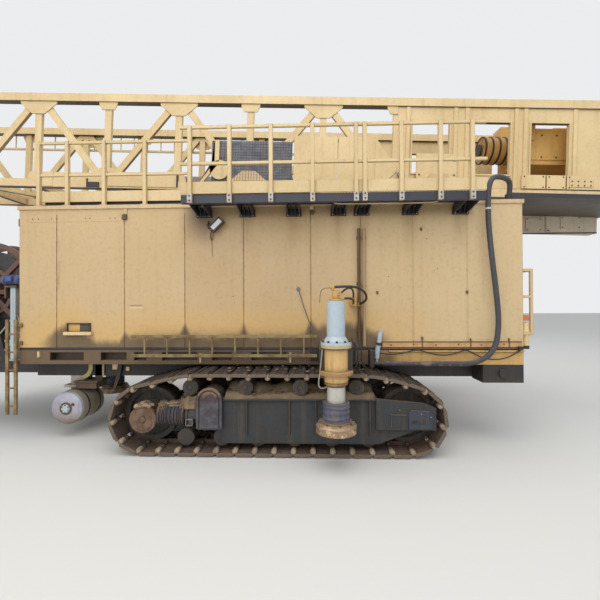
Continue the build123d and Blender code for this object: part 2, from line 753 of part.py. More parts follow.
def rotary_head():
    """Carriage with guide shoes on the front chords, gearbox and drive motor."""
    middle = head_start
    half = head_length / 2
    inner = mast_half_width - chord
    pieces = [block(middle - half, middle + half, -380.0, 380.0, rod_axis_height - 330, rod_axis_height + 330)]
    for side in (-1, 1):
        for x in (middle - half, middle + half - 260):
            pieces.append(block(x, x + 260, side * 370, side * (inner - fit_gap), mast_above - chord - 40,
                                mast_above + 30))
            pieces.append(block(x, x + 260, side * 300, side * 430, rod_axis_height + 100, mast_above + 30))
    pieces.append(drum(middle - half - 520, 0, rod_axis_height + 60, 240.0, 530.0, "X"))
    gearbox = joined(pieces)
    return gearbox - drum(middle + half - 120, 0, rod_axis_height, spindle_radius + fit_gap, 200.0, "X")


def drill_spindle():
    """Spindle nose under the rotary head, with the coupling that a drill rod screws on to."""
    nose = head_start + head_length / 2
    shaft = drum(nose - 110, 0, rod_axis_height, spindle_radius, 260.0, "X")
    coupling = drum(nose + 60, 0, rod_axis_height, 150.0, 170.0, "X")
    pin = drum(nose + 230, 0, rod_axis_height, 72.0, 110.0, "X")
    return joined([shaft, coupling, pin])


def cylinder_line():
    """Pin-to-pin vector of the mast cylinder with the mast lowered, and with it raised."""
    base = Vector(cylinder_base_x, 0, cylinder_base_z)
    t = radians(mast_tilt)
    low_pin = Vector(pivot_x + lug_along * cos(t) + lug_drop * sin(t), 0,
                     pivot_z - lug_along * sin(t) + lug_drop * cos(t))
    high_pin = Vector(pivot_x + lug_drop, 0, pivot_z - lug_along)
    return low_pin - base, high_pin - base


def cylinder_eye(y, at, toward):
    """A pin eye with its neck, at a height along the cylinder; toward is the neck's direction."""
    ring = drum(0, y - eye_half_width, at, eye_radius, 2 * eye_half_width, "Y")
    neck = block(-55.0, 55.0, y - eye_half_width, y + eye_half_width, *sorted((at, at + toward * (eye_neck + 5))))
    hole = drum(0, y - eye_half_width - 1, at, cylinder_pin_radius + fit_gap, 2 * eye_half_width + 2, "Y")
    return ring + neck - hole


def mast_cylinders():
    """Barrels and rods of the two mast cylinders, with the pins and deck brackets at their base."""
    closed, opened = cylinder_line()
    length = closed.length
    lean = degrees(atan2(closed.X, closed.Z))
    place = Pos(cylinder_base_x, 0, cylinder_base_z) * Rot(0, lean, 0)
    mouth = length - barrel_dead_length
    bore_start = eye_neck + 35
    rod_start = bore_start + 20
    barrels, rods, brackets = [], [], []
    for side in (-1, 1):
        y = side * cylinder_y
        barrel = drum(0, y, eye_neck, barrel_radius, mouth - eye_neck, "Z")
        gland = drum(0, y, mouth - gland_length, barrel_radius + 16, gland_length, "Z")
        bore = drum(0, y, bore_start, piston_rod_radius + running_gap, mouth - gland_length - bore_start, "Z")
        bush = drum(0, y, mouth - gland_length - 1, piston_rod_radius + fit_gap, gland_length + 2, "Z")
        barrels.append(place * (joined([barrel, gland, cylinder_eye(y, 0.0, 1)]) - bore - bush))
        rod = drum(0, y, rod_start, piston_rod_radius, length - rod_start - eye_neck, "Z")
        rods.append(place * (rod + cylinder_eye(y, length, -1)))
        foot = block(cylinder_base_x - 140, cylinder_base_x + 140, y - 110, y + 110, deck_z, deck_z + 30)
        cheeks = []
        for cheek in (-1, 1):
            near_face = y + cheek * (eye_half_width + fork_gap)
            y0, y1 = sorted((near_face, near_face + cheek * fork_plate))
            cheeks.append(side_profile([(cylinder_base_x - 120, deck_z), (cylinder_base_x + 120, deck_z),
                                        (cylinder_base_x + 60, cylinder_base_z + 65),
                                        (cylinder_base_x - 60, cylinder_base_z + 65)], y0, y1))
        pin = drum(cylinder_base_x, y - 100, cylinder_base_z, cylinder_pin_radius, 200.0, "Y")
        brackets.append(joined([foot, pin] + cheeks))
    print("mast cylinder closed", round(length, 1), "stroke", round(opened.length - length, 1),
          "lean", round(lean, 2), "to", round(degrees(atan2(opened.X, opened.Z)), 2))
    return barrels, rods, brackets


def cab():
    """Hollow operator's cab with cut windows and a door opening in its outer side."""
    x0, x1 = cab_rear_x, cab_rear_x + cab_length
    shell = block(x0, x1, cab_inner_y, cab_outer_y, deck_z, cab_top_z)
    shell -= block(x0 + cab_wall, x1 - cab_wall, cab_inner_y + cab_wall, cab_outer_y - cab_wall,
                   deck_z + cab_wall, cab_top_z - cab_wall)
    panes = []
    openings = (
        ("X", x1 - cab_wall, cab_inner_y + cab_pillar, cab_outer_y - cab_pillar),
        ("Y", cab_inner_y, x0 + 500, x1 - cab_pillar),
        ("Y", cab_outer_y - cab_wall, x0 + cab_door_start + cab_door_width + cab_pillar, x1 - cab_pillar),
    )
    for axis, at, low, high in openings:
        middle = at + cab_wall / 2
        if axis == "X":
            shell -= block(at - 1, at + cab_wall + 1, low, high, window_low_z, window_high_z)
            panes.append(block(middle - glass / 2, middle + glass / 2, low, high, window_low_z, window_high_z))
        else:
            shell -= block(low, high, at - 1, at + cab_wall + 1, window_low_z, window_high_z)
            panes.append(block(low, high, middle - glass / 2, middle + glass / 2, window_low_z, window_high_z))
    door_x = x0 + cab_door_start
    shell -= block(door_x, door_x + cab_door_width, cab_outer_y - cab_wall - 1, cab_outer_y + 1,
                   deck_z + cab_door_sill, cab_top_z - cab_door_head)
    shell = joined([shell] + cab_hinges(False))
    leaf = block(door_x + door_gap, door_x + cab_door_width - door_gap, cab_outer_y - cab_wall, cab_outer_y,
                 deck_z + cab_door_sill + door_gap, cab_top_z - cab_door_head - door_gap)
    pane_x0, pane_x1 = door_x + cab_door_frame, door_x + cab_door_width - cab_door_frame
    leaf -= block(pane_x0, pane_x1, cab_outer_y - cab_wall - 1, cab_outer_y + 1, window_low_z, window_high_z)
    handle = block(door_x + cab_door_width - 75, door_x + cab_door_width - 50, cab_outer_y, cab_outer_y + 35,
                   cab_handle_z, cab_handle_z + cab_handle_height)
    pane = block(pane_x0, pane_x1, cab_outer_y - cab_wall / 2 - glass / 2, cab_outer_y - cab_wall / 2 + glass / 2,
                 window_low_z, window_high_z)
    floor = deck_z + cab_wall
    seat_x = x1 - 1050
    seat_y = (cab_inner_y + cab_outer_y) / 2
    seat = joined([block(seat_x - 60, seat_x + 60, seat_y - 60, seat_y + 60, floor, floor + 380),
                   block(seat_x - 240, seat_x + 240, seat_y - 250, seat_y + 250, floor + 380, floor + 480),
                   block(seat_x - 300, seat_x - 200, seat_y - 240, seat_y + 240, floor + 420, floor + 1100)])
    desk = joined([block(x1 - cab_wall - 330, x1 - cab_wall, cab_inner_y + cab_wall, cab_outer_y - cab_wall,
                         floor, floor + 560),
                   side_profile([(x1 - cab_wall - 330, floor + 560), (x1 - cab_wall, floor + 560),
                                 (x1 - cab_wall, floor + 780), (x1 - cab_wall - 200, floor + 780)],
                                cab_inner_y + cab_wall, cab_outer_y - cab_wall)])
    door = joined([leaf, handle] + cab_hinges(True))
    return shell, panes, door, pane, [seat, desk]


def cab_landing():
    """Landing outside the cab door, with its brackets, railing and ladder."""
    x0 = cab_rear_x + 20
    x1 = x0 + landing_length
    outer = landing_outer_y
    plate_z = deck_z - 40
    beam_z = plate_z - 60
    pieces = [block(x0, x1, cab_outer_y, outer, plate_z, deck_z)]
    for x in (x0, x1 - 60):
        pieces.append(block(x, x + 60, house_half_width + ledge_reach, outer, beam_z, plate_z))
    for x in (x0, x1 - post_size):
        pieces.append(block(x, x + post_size, outer - post_size, outer, plate_z, deck_z + rail_height))
    for z in (deck_z + rail_height / 2, deck_z + rail_height - rail_size):
        pieces.append(block(x0, x1, outer - rail_size, outer, z, z + rail_size))
    pieces.append(block(x0, x1, outer - 15, outer, deck_z, deck_z + 150))
    foot_z = 380.0
    stile = 50.0
    slope = 150.0
    first_y, last_y = cab_outer_y + 80, outer - 110
    for y in (first_y, last_y):
        pieces.append(side_profile([(x1, plate_z), (x1 + stile, plate_z), (x1 + stile + slope, foot_z),
                                    (x1 + slope, foot_z), (x1, beam_z)], y, y + stile))
    count = 4
    for i in range(count):
        f = (i + 0.5) / count
        pieces.append(drum(x1 + stile / 2 + f * slope, first_y + 20, plate_z - f * (plate_z - foot_z), 15.0,
                           last_y - first_y, "Y"))
    return joined(pieces)


def track_points():
    """Tangent points of the inner track line: on the driven wheel and on the idler."""
    left_x = track_centre_x - wheel_base / 2
    right_x = track_centre_x + wheel_base / 2
    base = shoe_height + link_height
    centre_z = base + wheel_radius
    inner_top = track_top_z - base
    rise = inner_top - centre_z
    angles = []
    for reach in (top_run_start, top_run_end):
        distance = hypot(reach, rise)
        angles.append(degrees(atan2(rise, reach)) + degrees(acos(wheel_radius / distance)))
    return left_x, right_x, base, centre_z, inner_top, angles


def track_line():
    """The closed line that the wheels and rollers bear on, as (x, z)."""
    left_x, right_x, base, centre_z, inner_top, angles = track_points()
    left_turn, right_turn = [radians(angle) for angle in angles]
    left_out = Vector(left_x + wheel_radius * cos(left_turn), centre_z + wheel_radius * sin(left_turn))
    right_out = Vector(right_x - wheel_radius * cos(right_turn), centre_z + wheel_radius * sin(right_turn))
    bottom = Line((right_x, base), (left_x, base))
    left_arc = ThreePointArc((left_x, base), (left_x - wheel_radius, centre_z), (left_out.X, left_out.Y))
    rise_left = Line((left_out.X, left_out.Y), (left_x + top_run_start, inner_top))
    top = Line((left_x + top_run_start, inner_top), (right_x - top_run_end, inner_top))
    fall_right = Line((right_x - top_run_end, inner_top), (right_out.X, right_out.Y))
    right_arc = ThreePointArc((right_out.X, right_out.Y), (right_x + wheel_radius, centre_z), (right_x, base))
    return Wire([bottom, left_arc, rise_left, top, fall_right, right_arc])


def track(side):
    """One track: a closed band with every shoe standing out of it."""
    line = track_line()
    count = round(line.length / shoe_pitch)
    half = 0.5 * line.length / count - shoe_gap / 2
    points = []
    for i in range(count):
        u = (i + 0.5) / count
        place = line.position_at(u)
        along = line.tangent_at(u)
        out = Vector(along.Y, -along.X)
        if out.dot(place - Vector(track_centre_x, track_top_z / 2)) < 0:
            out = out * -1
        for shift, height in ((-half, link_height), (-half + 16, link_height + shoe_height),
                              (half - 40, link_height + shoe_height), (half - 30, link_height + shoe_height - 16),
                              (half, link_height + shoe_height - 16), (half, link_height)):
            corner = place + along * shift + out * height
            points.append((corner.X, max(corner.Y, 0.0)))
    outer = make_face(Polyline(*points, close=True))
    inner = make_face(line)
    y0, y1 = sorted((side * track_inner_y, side * (track_inner_y + track_width)))
    return Pos(0, y1, 0) * (Plane.XZ * extrude(outer - inner, amount=y1 - y0))


def track_wheels():
    """Driven wheels, idlers and rollers inside both tracks."""
    left_x, right_x, base, centre_z, inner_top, angles = track_points()
    inner = track_inner_y + wheel_inset
    pieces = []
    for x in (left_x, right_x):
        wheel = drum(x, inner, centre_z, wheel_radius - fit_gap, wheel_width, "Y")
        for face_y in (inner - 1, inner + wheel_width - 59):
            ring = drum(x, face_y, centre_z, wheel_radius - 70, 60, "Y") - drum(x, face_y - 1, centre_z, 190.0, 62, "Y")
            wheel -= ring
        pieces.append(wheel)
    plate_out = track_inner_y + frame_inset + frame_plate
    roller_end = track_inner_y + track_width - frame_inset - frame_plate
    span = wheel_base - 2 * (wheel_radius + bottom_roller_radius + 60)
    for i in range(bottom_roller_count):
        x = left_x + wheel_radius + bottom_roller_radius + 60 + span * i / (bottom_roller_count - 1)
        pieces.append(drum(x, plate_out + fit_gap, base + bottom_roller_radius + fit_gap, bottom_roller_radius,
                           roller_end - plate_out - 2 * fit_gap, "Y"))
    top_span = wheel_base - top_run_start - top_run_end
    for i in range(top_roller_count):
        x = left_x + top_run_start + 60 + (top_span - 320) * i / (top_roller_count - 1)
        pieces.append(drum(x, plate_out + fit_gap, inner_top - top_roller_radius - fit_gap, top_roller_radius,
                           roller_end - plate_out + 40, "Y"))
    return pieces


def track_frame():
    """Near-side frame inside a track: side plates, box between them, ears and tensioner housing."""
    left_x, right_x, base, centre_z, inner_top, angles = track_points()
    inner = track_inner_y + frame_inset
    outer = track_inner_y + track_width - frame_inset
    low = base + 60
    start = left_x + wheel_radius + 60
    end = right_x - wheel_radius - 60
    inner_plate = side_profile([(left_x - 130, centre_z - 120), (start, low), (end, low),
                                (right_x + 130, centre_z - 120), (right_x + 130, centre_z + 120),
                                (end, frame_top_z), (start, frame_top_z),
                                (left_x - 130, centre_z + 120)], inner, inner + frame_plate)
    top_span = wheel_base - top_run_start - top_run_end
    ears = []
    for i in range(top_roller_count):
        x = left_x + top_run_start + 60 + (top_span - 320) * i / (top_roller_count - 1)
        ears.append(side_profile([(x - 110, frame_top_z - 10), (x + 110, frame_top_z - 10),
                                  (x + 60, inner_top - 60), (x - 60, inner_top - 60)], inner, inner + frame_plate))
    drive_end = left_x + gear_from_wheel + gear_radius
    outer_plate = side_profile([(drive_end, low), (end, low), (right_x + 130, centre_z - 120),
                                (right_x + 130, centre_z + 120), (end, frame_top_z), (drive_end, frame_top_z)],
                               outer - frame_plate, outer)
    core = block(start, end, inner + frame_plate, track_inner_y + wheel_inset + wheel_width, low + 190, frame_top_z)
    outer_core = block(drive_end, end, track_inner_y + wheel_inset + wheel_width, outer - frame_plate,
                       low + 190, frame_top_z)
    housing_low = centre_z - 130
    housing = side_profile([(end - 30, housing_low), (right_x + 330, housing_low), (right_x + 330, centre_z + 180),
                            (right_x + 180, centre_z + 240), (end - 30, centre_z + 300)], outer, outer + 40)
    lip = block(drive_end + 20, end, outer - 1, outer + frame_lip_reach, frame_top_z - frame_lip_height,
                frame_top_z)
    ribs = []
    for share in frame_ribs_at:
        x = drive_end + (end - drive_end) * share
        ribs.append(block(x - frame_rib_width / 2, x + frame_rib_width / 2, outer - 1, outer + frame_rib_reach,
                          low + 130, frame_top_z - frame_lip_height + 1))
    return joined([inner_plate, outer_plate, core, outer_core, housing, lip] + ears + ribs)


def travel_drive():
    """Near-side hub, ribbed travel motor, brake and gearbox outside the driven wheel."""
    left_x, right_x, base, centre_z, inner_top, angles = track_points()
    face = track_inner_y + wheel_inset + wheel_width
    outer = track_inner_y + track_width - 20
    plate = block(left_x - 120, left_x + 800, face + fit_gap, face + 40, centre_z - 130, centre_z + 130)
    hub = drum(left_x, face + fit_gap, centre_z, hub_radius, outer - face - 40, "Y")
    axis_y = outer - 160
    axis_z = centre_z + 40
    motor = drum(left_x + 190, axis_y, axis_z, motor_radius, motor_length, "X")
    for i in range(7):
        motor += drum(left_x + 205 + i * 52, axis_y, axis_z, motor_radius + motor_rib, 20.0, "X")
    brake = drum(left_x + 180 + motor_length, axis_y, axis_z, brake_radius, brake_length, "X")
    gear_x = left_x + gear_from_wheel
    gear_arc_z = centre_z + gear_top - gear_radius
    gear = block(gear_x - gear_radius, gear_x + gear_radius, face + fit_gap, outer, centre_z - 130,
                 gear_arc_z)
    gear += drum(gear_x, face + fit_gap, gear_arc_z, gear_radius, outer - face - fit_gap, "Y")
    return joined([plate, hub, motor, brake, gear])


def axle_beams():
    """Two cross beams between the track frames, with the saddles that carry the platform."""
    reach = track_inner_y + frame_inset
    beams = []
    for offset in (-axle_beam_offset, axle_beam_offset):
        x0 = track_centre_x + offset - axle_beam_width / 2
        x1 = x0 + axle_beam_width
        beam = block(x0, x1, -reach, reach, axle_beam_low_z, axle_beam_high_z)
        saddles = [block(x0 + 40, x1 - 40, side * girder_inner_y, side * girder_outer_y,
                         axle_beam_high_z, girder_bottom_z) for side in (-1, 1)]
        beams.append(joined([beam] + saddles))
    return beams


def reel_stand():
    """Deck behind the house with its beams, and the posts that carry the cable reel."""
    x0 = rear_x - rear_deck_length
    low = girder_bottom_z + 50
    under = rear_deck_z - rear_deck_plate
    pieces = []
    for side in (-1, 1):
        pieces.append(block(x0, rear_x, side * girder_inner_y, side * girder_outer_y, low, under))
    pieces.append(block(x0, x0 + rear_beam_width, -girder_outer_y, girder_outer_y, low, under))
    pieces.append(block(rear_x - 160, rear_x, -girder_inner_y, girder_inner_y, low, under))
    pieces.append(block(x0, rear_x, -girder_outer_y, girder_outer_y, under, rear_deck_z))
    gap = reel_width / 2 + 60
    foot = stand_half_width + stand_leg
    for side in (-1, 1):
        y = reel_y + side * gap
        y0, y1 = sorted((y, y + side * stand_plate))
        pieces.append(side_profile([(reel_x - foot, rear_deck_z), (reel_x - stand_half_width, rear_deck_z),
                                    (reel_x, reel_z - 200), (reel_x + stand_half_width, rear_deck_z),
                                    (reel_x + foot, rear_deck_z), (reel_x + stand_leg, reel_z + 110),
                                    (reel_x - stand_leg, reel_z + 110)], y0, y1))
        pieces.append(block(reel_x - stand_half_width, reel_x + stand_half_width, y0, y1, stand_tie_z,
                            stand_tie_z + stand_tie_height))
    stand = joined(pieces)
    stand -= drum(reel_x, reel_y - 1000, reel_z, reel_shaft_radius + fit_gap, 2000.0, "Y")
    return stand


def cable_reel():
    """Spoked reel with two rims, a core and its shaft."""
    start = reel_y - reel_width / 2
    core = drum(reel_x, start, reel_z, reel_core_radius, reel_width, "Y")
    core -= drum(reel_x, start - 1, reel_z, reel_core_radius - 60, reel_width - reel_rim + 1, "Y")
    pieces = [core, drum(reel_x, start - 125, reel_z, reel_shaft_radius, reel_width + 250, "Y")]
    for y in (start, start + reel_width - reel_rim):
        rim = drum(reel_x, y, reel_z, reel_radius, reel_rim, "Y")
        rim -= drum(reel_x, y - 1, reel_z, reel_radius - 90, reel_rim + 2, "Y")
        pieces.append(rim)
        for i in range(4):
            bar = Pos(reel_x, y + reel_rim / 2, reel_z) * (Rot(0, i * 45, 0) * Box(2 * reel_radius - 60, reel_rim, 80))
            pieces.append(bar)
    return joined(pieces)


def air_receiver():
    """Air receiver slung across under the rear of the platform."""
    body = drum(receiver_x, receiver_outer_y, receiver_z, receiver_radius, receiver_length, "Y")
    cover = drum(receiver_x, receiver_outer_y - 30, receiver_z, receiver_radius - 40, 30.0, "Y")
    boss = drum(receiver_x, receiver_outer_y - 60, receiver_z, 75.0, 31.0, "Y")
    neck = block(receiver_x - 110, receiver_x + 110, -girder_outer_y, -girder_inner_y, receiver_z + 150,
                 girder_bottom_z)
    plate = block(receiver_x - 200, receiver_x + 200, -girder_outer_y - 40, -girder_inner_y + 40,
                  receiver_z + receiver_radius + 20, receiver_z + receiver_radius + 60)
    return joined([body, cover, boss, neck, plate])


def stored_ladder():
    """Ladder hung along the near wall on three hooks."""
    x1 = jack_x - arm_half_width - 20
    x0 = x1 - stored_ladder_length
    y0 = -house_half_width - stored_ladder_off_wall
    y1 = y0 + 40
    low, high = stored_ladder_low_z, stored_ladder_low_z + stored_ladder_height
    pieces = [block(x0, x1, y0, y1, z, z + stored_rail) for z in (low, high)]
    pieces += [drum(x0 + 210 + i * stored_rung_step, y0 + 20, low + 20, 15.0, high - low, "Z")
               for i in range(stored_rung_count)]
    for at in stored_hooks:
        pieces.append(block(x0 + at, x0 + at + 60, y1 - 1, -house_half_width, high + 5, high + 40))
    return joined(pieces)


def rear_ladder():
    """Ladder at the rear near corner of the house."""
    x0 = rear_x - rear_ladder_width
    y0 = -house_half_width - 60
    low, high = rear_ladder_low_z, rear_ladder_high_z
    stile = 45.0
    pieces = [block(x, x + stile, y0, y0 + 30, low, high) for x in (x0, rear_x - stile)]
    pieces += [block(x0, rear_x, y0 + 5, y0 + 25, low + 120 + i * rear_rung_step, low + 145 + i * rear_rung_step)
               for i in range(rear_rung_count)]
    for z in rear_bracket_z:
        pieces.append(block(rear_x - stile, rear_x + 60, y0 + 30, -house_half_width, z, z + 60))
    return joined(pieces)


def front_landing():
    """Landing and handrail at the near wing's drill end."""
    y0, y1 = -house_half_width + 20, -well_half_width - 30
    x1 = front_x + wing_landing_length
    low = wing_landing_z - 50
    bar = wing_bar
    pieces = [block(front_x, x1, y0, y1, low, wing_landing_z),
              block(front_x, front_x + 60, y0 + 40, y1 - 40, low - 80, low)]
    for y in (y0, y1 - bar):
        pieces.append(block(x1 - bar, x1, y, y + bar, low, wing_rail_z[1] + bar))
    for z in wing_rail_z:
        pieces.append(block(front_x, x1, y0, y0 + bar, z, z + bar))
        pieces.append(block(x1 - bar, x1, y0, y1, z, z + bar))
    return joined(pieces)


def service_pipes():
    """Pipes clipped to the near wall between the walkway and the deck."""
    y = -house_half_width - 45
    pieces = []
    for x, low, high in ((pivot_x - 1450, 1560.0, walkway_z - walkway_depth - 290),
                         (pivot_x - 1370, 1480.0, walkway_z - walkway_depth - 290)):
        pipe = drum(x, y, low, 22.0, high - low, "Z")
        clips = [block(x - 30, x + 30, y, -house_half_width, z, z + 40)
                 for z in (low + 120, (low + high) / 2, high - 160)]
        pieces.append(joined([pipe] + clips))
    return pieces


def hose_route():
    """The air hose's corner points: off the roof elbow, over the edge, down the wall, along the beam's foot."""
    x = walkway_front_x + 190
    return [
        (x + 455, -house_half_width + 150, roof_top_z + 115),
        (x + 470, -house_half_width + 100, roof_top_z + 295),
        (x + 270, -house_half_width - 10, roof_top_z + 345),
        (x + 25, hose_y + 5, roof_top_z + 290),
        (x, hose_y, roof_top_z - 250),
        (x + 45, hose_y - 8, roof_top_z - 820),
        (x + 112, hose_y, roof_top_z - 1350),
        (x + 152, hose_y - 8, roof_top_z - 1850),
        (x + 97, hose_y + 2, roof_top_z - 2260),
        (x - 198, hose_y - 4, roof_top_z - 2450),
        (x - 650, hose_y + 4, roof_top_z - 2444),
        (x - 1150, hose_y - 2, roof_top_z - 2452),
        (x - 1560, hose_y, roof_top_z - 2446),
    ]


def cord_path(points, share=0.45):
    """Straight runs with an arc at every corner, as large as its two runs allow."""
    radii = []
    for before, corner, after in zip(points, points[1:], points[2:]):
        first = Vector(*corner) - Vector(*before)
        second = Vector(*after) - Vector(*corner)
        turn = radians(first.get_angle(second))
        radii.append(share * min(first.length, second.length) / tan(turn / 2))
    return FilletPolyline(*points, radius=radii), radii


def cord_tube(name, points, radius):
    """A hose as a tube along its route."""
    path, radii = cord_path(points)
    start = Plane(origin=points[0], z_dir=Vector(*points[1]) - Vector(*points[0]))
    print(name, "radii", [round(r) for r in radii], "length", round(path.length))
    return sweep(start * Circle(radius), path=path)


def cord_end(at, toward, radius):
    """The fitting on a hose's end, in line with its last run; toward is the route's next point."""
    away = (Vector(*at) - Vector(*toward)).normalized()
    return rod_between(at, Vector(*at) + away * fitting_length, radius + fitting_wall)


def hose_fittings():
    """The air hose's roof elbow and its pipe stub, with the cable's clips and glands on the ledge."""
    points = hose_route()
    first, last = points[0], points[-1]
    elbow = joined([rod_between(Vector(*first) - Vector(0, 0, 115), first, hose_radius + 20),
                    block(first[0] - 90, first[0] + 90, first[1] - 90, first[1] + 90, roof_top_z, roof_top_z + 25)])
    trim = Plane(origin=first, z_dir=Vector(*points[1]) - Vector(*first))
    elbow = split(elbow, bisect_by=trim, keep=Keep.BOTTOM)
    end_line = Vector(*last) - Vector(*points[-2])
    stub = rod_between(Vector(*last), Vector(*last) + end_line.normalized() * 160, hose_radius - 8)
    cable = cable_route()
    flange_x = last[0] - 150
    stub += block(flange_x - 30, flange_x + 30, -house_half_width - 180, -house_half_width,
                  last[2] - 50, cable[0][2] + 40)
    stub += cord_end(cable[0], cable[1], cable_radius)
    gland_z = cable[-1][2]
    gland = cord_end(cable[-1], cable[-2], cable_radius)
    gland += block(cable[-1][0] + 30, cable[-1][0] + 90, cable_y - 20, -house_half_width, gland_z + 40, gland_z + 90)
    clips = [block(x - 12, x + 12, cable_y + cable_radius + fit_gap, -house_half_width, girder_top_z, girder_top_z + 18)
             for x in cable_clips_x]
    return [elbow, stub, gland] + clips


def jack_hose_routes():
    """The near jack's three hoses, from its valve to the manifold on the wall: name, radius, corner points."""
    x, y, z = jack_x, -jack_y, jack_cylinder_top_z
    upper = [(x - 16, y, z + 180), (x + 130, y + 12, z + 190), (x + 290, y + 120, z + 184),
             (x + 425, y + 330, z + 125), (x + 480, y + 530, z + 40), (x + 460, y + 640, z - 15),
             (x + 395, y + 708, z - 45)]
    middle = [(x + 64, y, z + 97), (x + 122, y + 52, z + 150), (x + 190, y + 200, z + 178),
              (x + 255, y + 400, z + 170), (x + 290, y + 540, z + 120), (x + 300, y + 650, z + 60)]
    lower = [(x + 100, y, z + 30), (x + 175, y + 65, z + 36), (x + 240, y + 220, z + 26),
             (x + 280, y + 420, z - 4), (x + 290, y + 560, z - 26), (x + 293, y + 650, z - 32)]
    return [("jack_hose_upper", upper_hose_radius, upper), ("jack_hose_middle", middle_hose_radius, middle),
            ("jack_hose_lower", lower_hose_radius, lower)]


def jack_valves():
    """The near jack's valve on its cylinder and the manifold on the wall, with the fittings of the hoses."""
    x, y, z = jack_x, -jack_y, jack_cylinder_top_z
    valve = [drum(x, y, z, jack_ram_radius - 30, 30.0, "Z"),
             block(x - valve_half_width, x + valve_half_width, y - 40, y + 40, z + 29, z + valve_height),
             drum(x - 40, y, z + valve_height - 1, 20.0, 52.0, "Z")]
    manifold = [block(manifold_start_x, manifold_start_x + manifold_width, -house_half_width - manifold_reach,
                      -house_half_width, z - 75, z + 55)]
    for name, radius, points in jack_hose_routes():
        valve.append(cord_end(points[0], points[1], radius))
        manifold.append(cord_end(points[-1], points[-2], radius))
    return joined(valve), joined(manifold)


def cable_route():
    """The thin cable that hangs in loops from clips on the ledge: corner points."""
    first, second = cable_clips_x
    clip_z = girder_top_z + 14
    route = [(first - 630, clip_z - 42), (first - 520, clip_z - 62), (first - 390, clip_z - 72),
             (first - 250, clip_z - 58), (first - 120, clip_z - 22), (first, clip_z),
             (first + 120, clip_z - 42), (first + 270, clip_z - 80), (first + 430, clip_z - 86),
             (second - 112, clip_z - 45), (second, clip_z), (second + 100, clip_z - 52),
             (second + 214, clip_z - 114), (second + 359, clip_z - 150), (second + 519, clip_z - 144),
             (second + 649, clip_z - 104), (second + 739, clip_z - 46)]
    return [(x, cable_y, z) for x, z in route]


def main():
    """Writes every node."""
    write("main_girders", *main_girders())
    write("cross_beams", *cross_beams())
    write("deck_plate", deck_plate())
    near_beam = side_beam()
    write("side_beams", near_beam, far(near_beam))
    write("jack_arms", *jack_arms())
    near_jack = side_jack_housing()
    write("jack_housings", near_jack, far(near_jack), rear_jack_housing())
    ram_top = jack_flange_z + jack_flange_thickness + 2
    write("jack_ram_near", jack_ram(jack_x, -jack_y, jack_pad_low_z, ram_top))
    write("jack_ram_far", jack_ram(jack_x, jack_y, jack_pad_low_z, ram_top))
    write("jack_ram_rear", jack_ram(rear_jack_x, 0, rear_pad_low_z, girder_top_z - 60))

    near, far_wall, rear, lining = house_walls()
    write("house_wall_near", near)
    write("house_wall_far", far_wall)
    write("house_wall_rear", rear)
    write("well_lining", lining)
    write("house_roof", house_roof())
    write("house_door", hinged_door())
    compressor_x = rear_x + compressor_from_rear
    write("compressor_block", block(compressor_x, compressor_x + compressor_length, -compressor_half_width,
                                    compressor_half_width, deck_z, deck_z + compressor_height))

    write("walkway", *walkway())
    write("railings", walkway_railing(), *roof_railings())
    write("service_pipes", *service_pipes())
    write("ladders", stored_ladder(), rear_ladder())
    write("front_landing", front_landing())

    write("mast_towers", *mast_towers())
    write("mast_rest", mast_rest())
    write("mast_lattice", on_mast(mast_lattice()))
    write("mast_table", on_mast(mast_table()))
    write("mast_crown", on_mast(mast_crown()))
    write("tong_frame", on_mast(tong_frame()))
    rods, cradles = spare_rods()
    write("spare_rods", *[on_mast(rod) for rod in rods])
    write("rod_cradles", *[on_mast(cradle) for cradle in cradles])
    write("rotary_head", on_mast(rotary_head()))
    write("drill_spindle", on_mast(drill_spindle()))
    barrels, piston_rods, brackets = mast_cylinders()
    write("mast_cylinder_barrels", *barrels)
    write("mast_cylinder_rods", *piston_rods)
    write("mast_cylinder_brackets", *brackets)

    shell, panes, door, door_pane, fittings = cab()
    write("cab_shell", shell)
    write("cab_glass", *panes)
    write("cab_door", door)
    write("cab_door_glass", door_pane)
    write("cab_fittings", *fittings)
    write("cab_landing", cab_landing())

    near_track = track(-1)
    write("track_near", near_track)
    write("track_far", far(near_track))
    wheels = track_wheels()
    write("track_wheels", *wheels, *[far(wheel) for wheel in wheels])
    frame = track_frame()
    write("track_frames", frame, far(frame))
    drive = travel_drive()
    write("travel_drives", drive, far(drive))
    write("axle_beams", *axle_beams())

    write("reel_stand", reel_stand())
    write("cable_reel", cable_reel())
    write("air_receiver", air_receiver())
    write("air_hose", cord_tube("air_hose", hose_route(), hose_radius))
    write("skirt_cable", cord_tube("skirt_cable", cable_route(), cable_radius))
    write("hose_fittings", *hose_fittings())
    for name, radius, points in jack_hose_routes():
        write(name, cord_tube(name, points, radius))
    valve, manifold = jack_valves()
    write("jack_valves", valve, manifold, far(valve), far(manifold))


main()
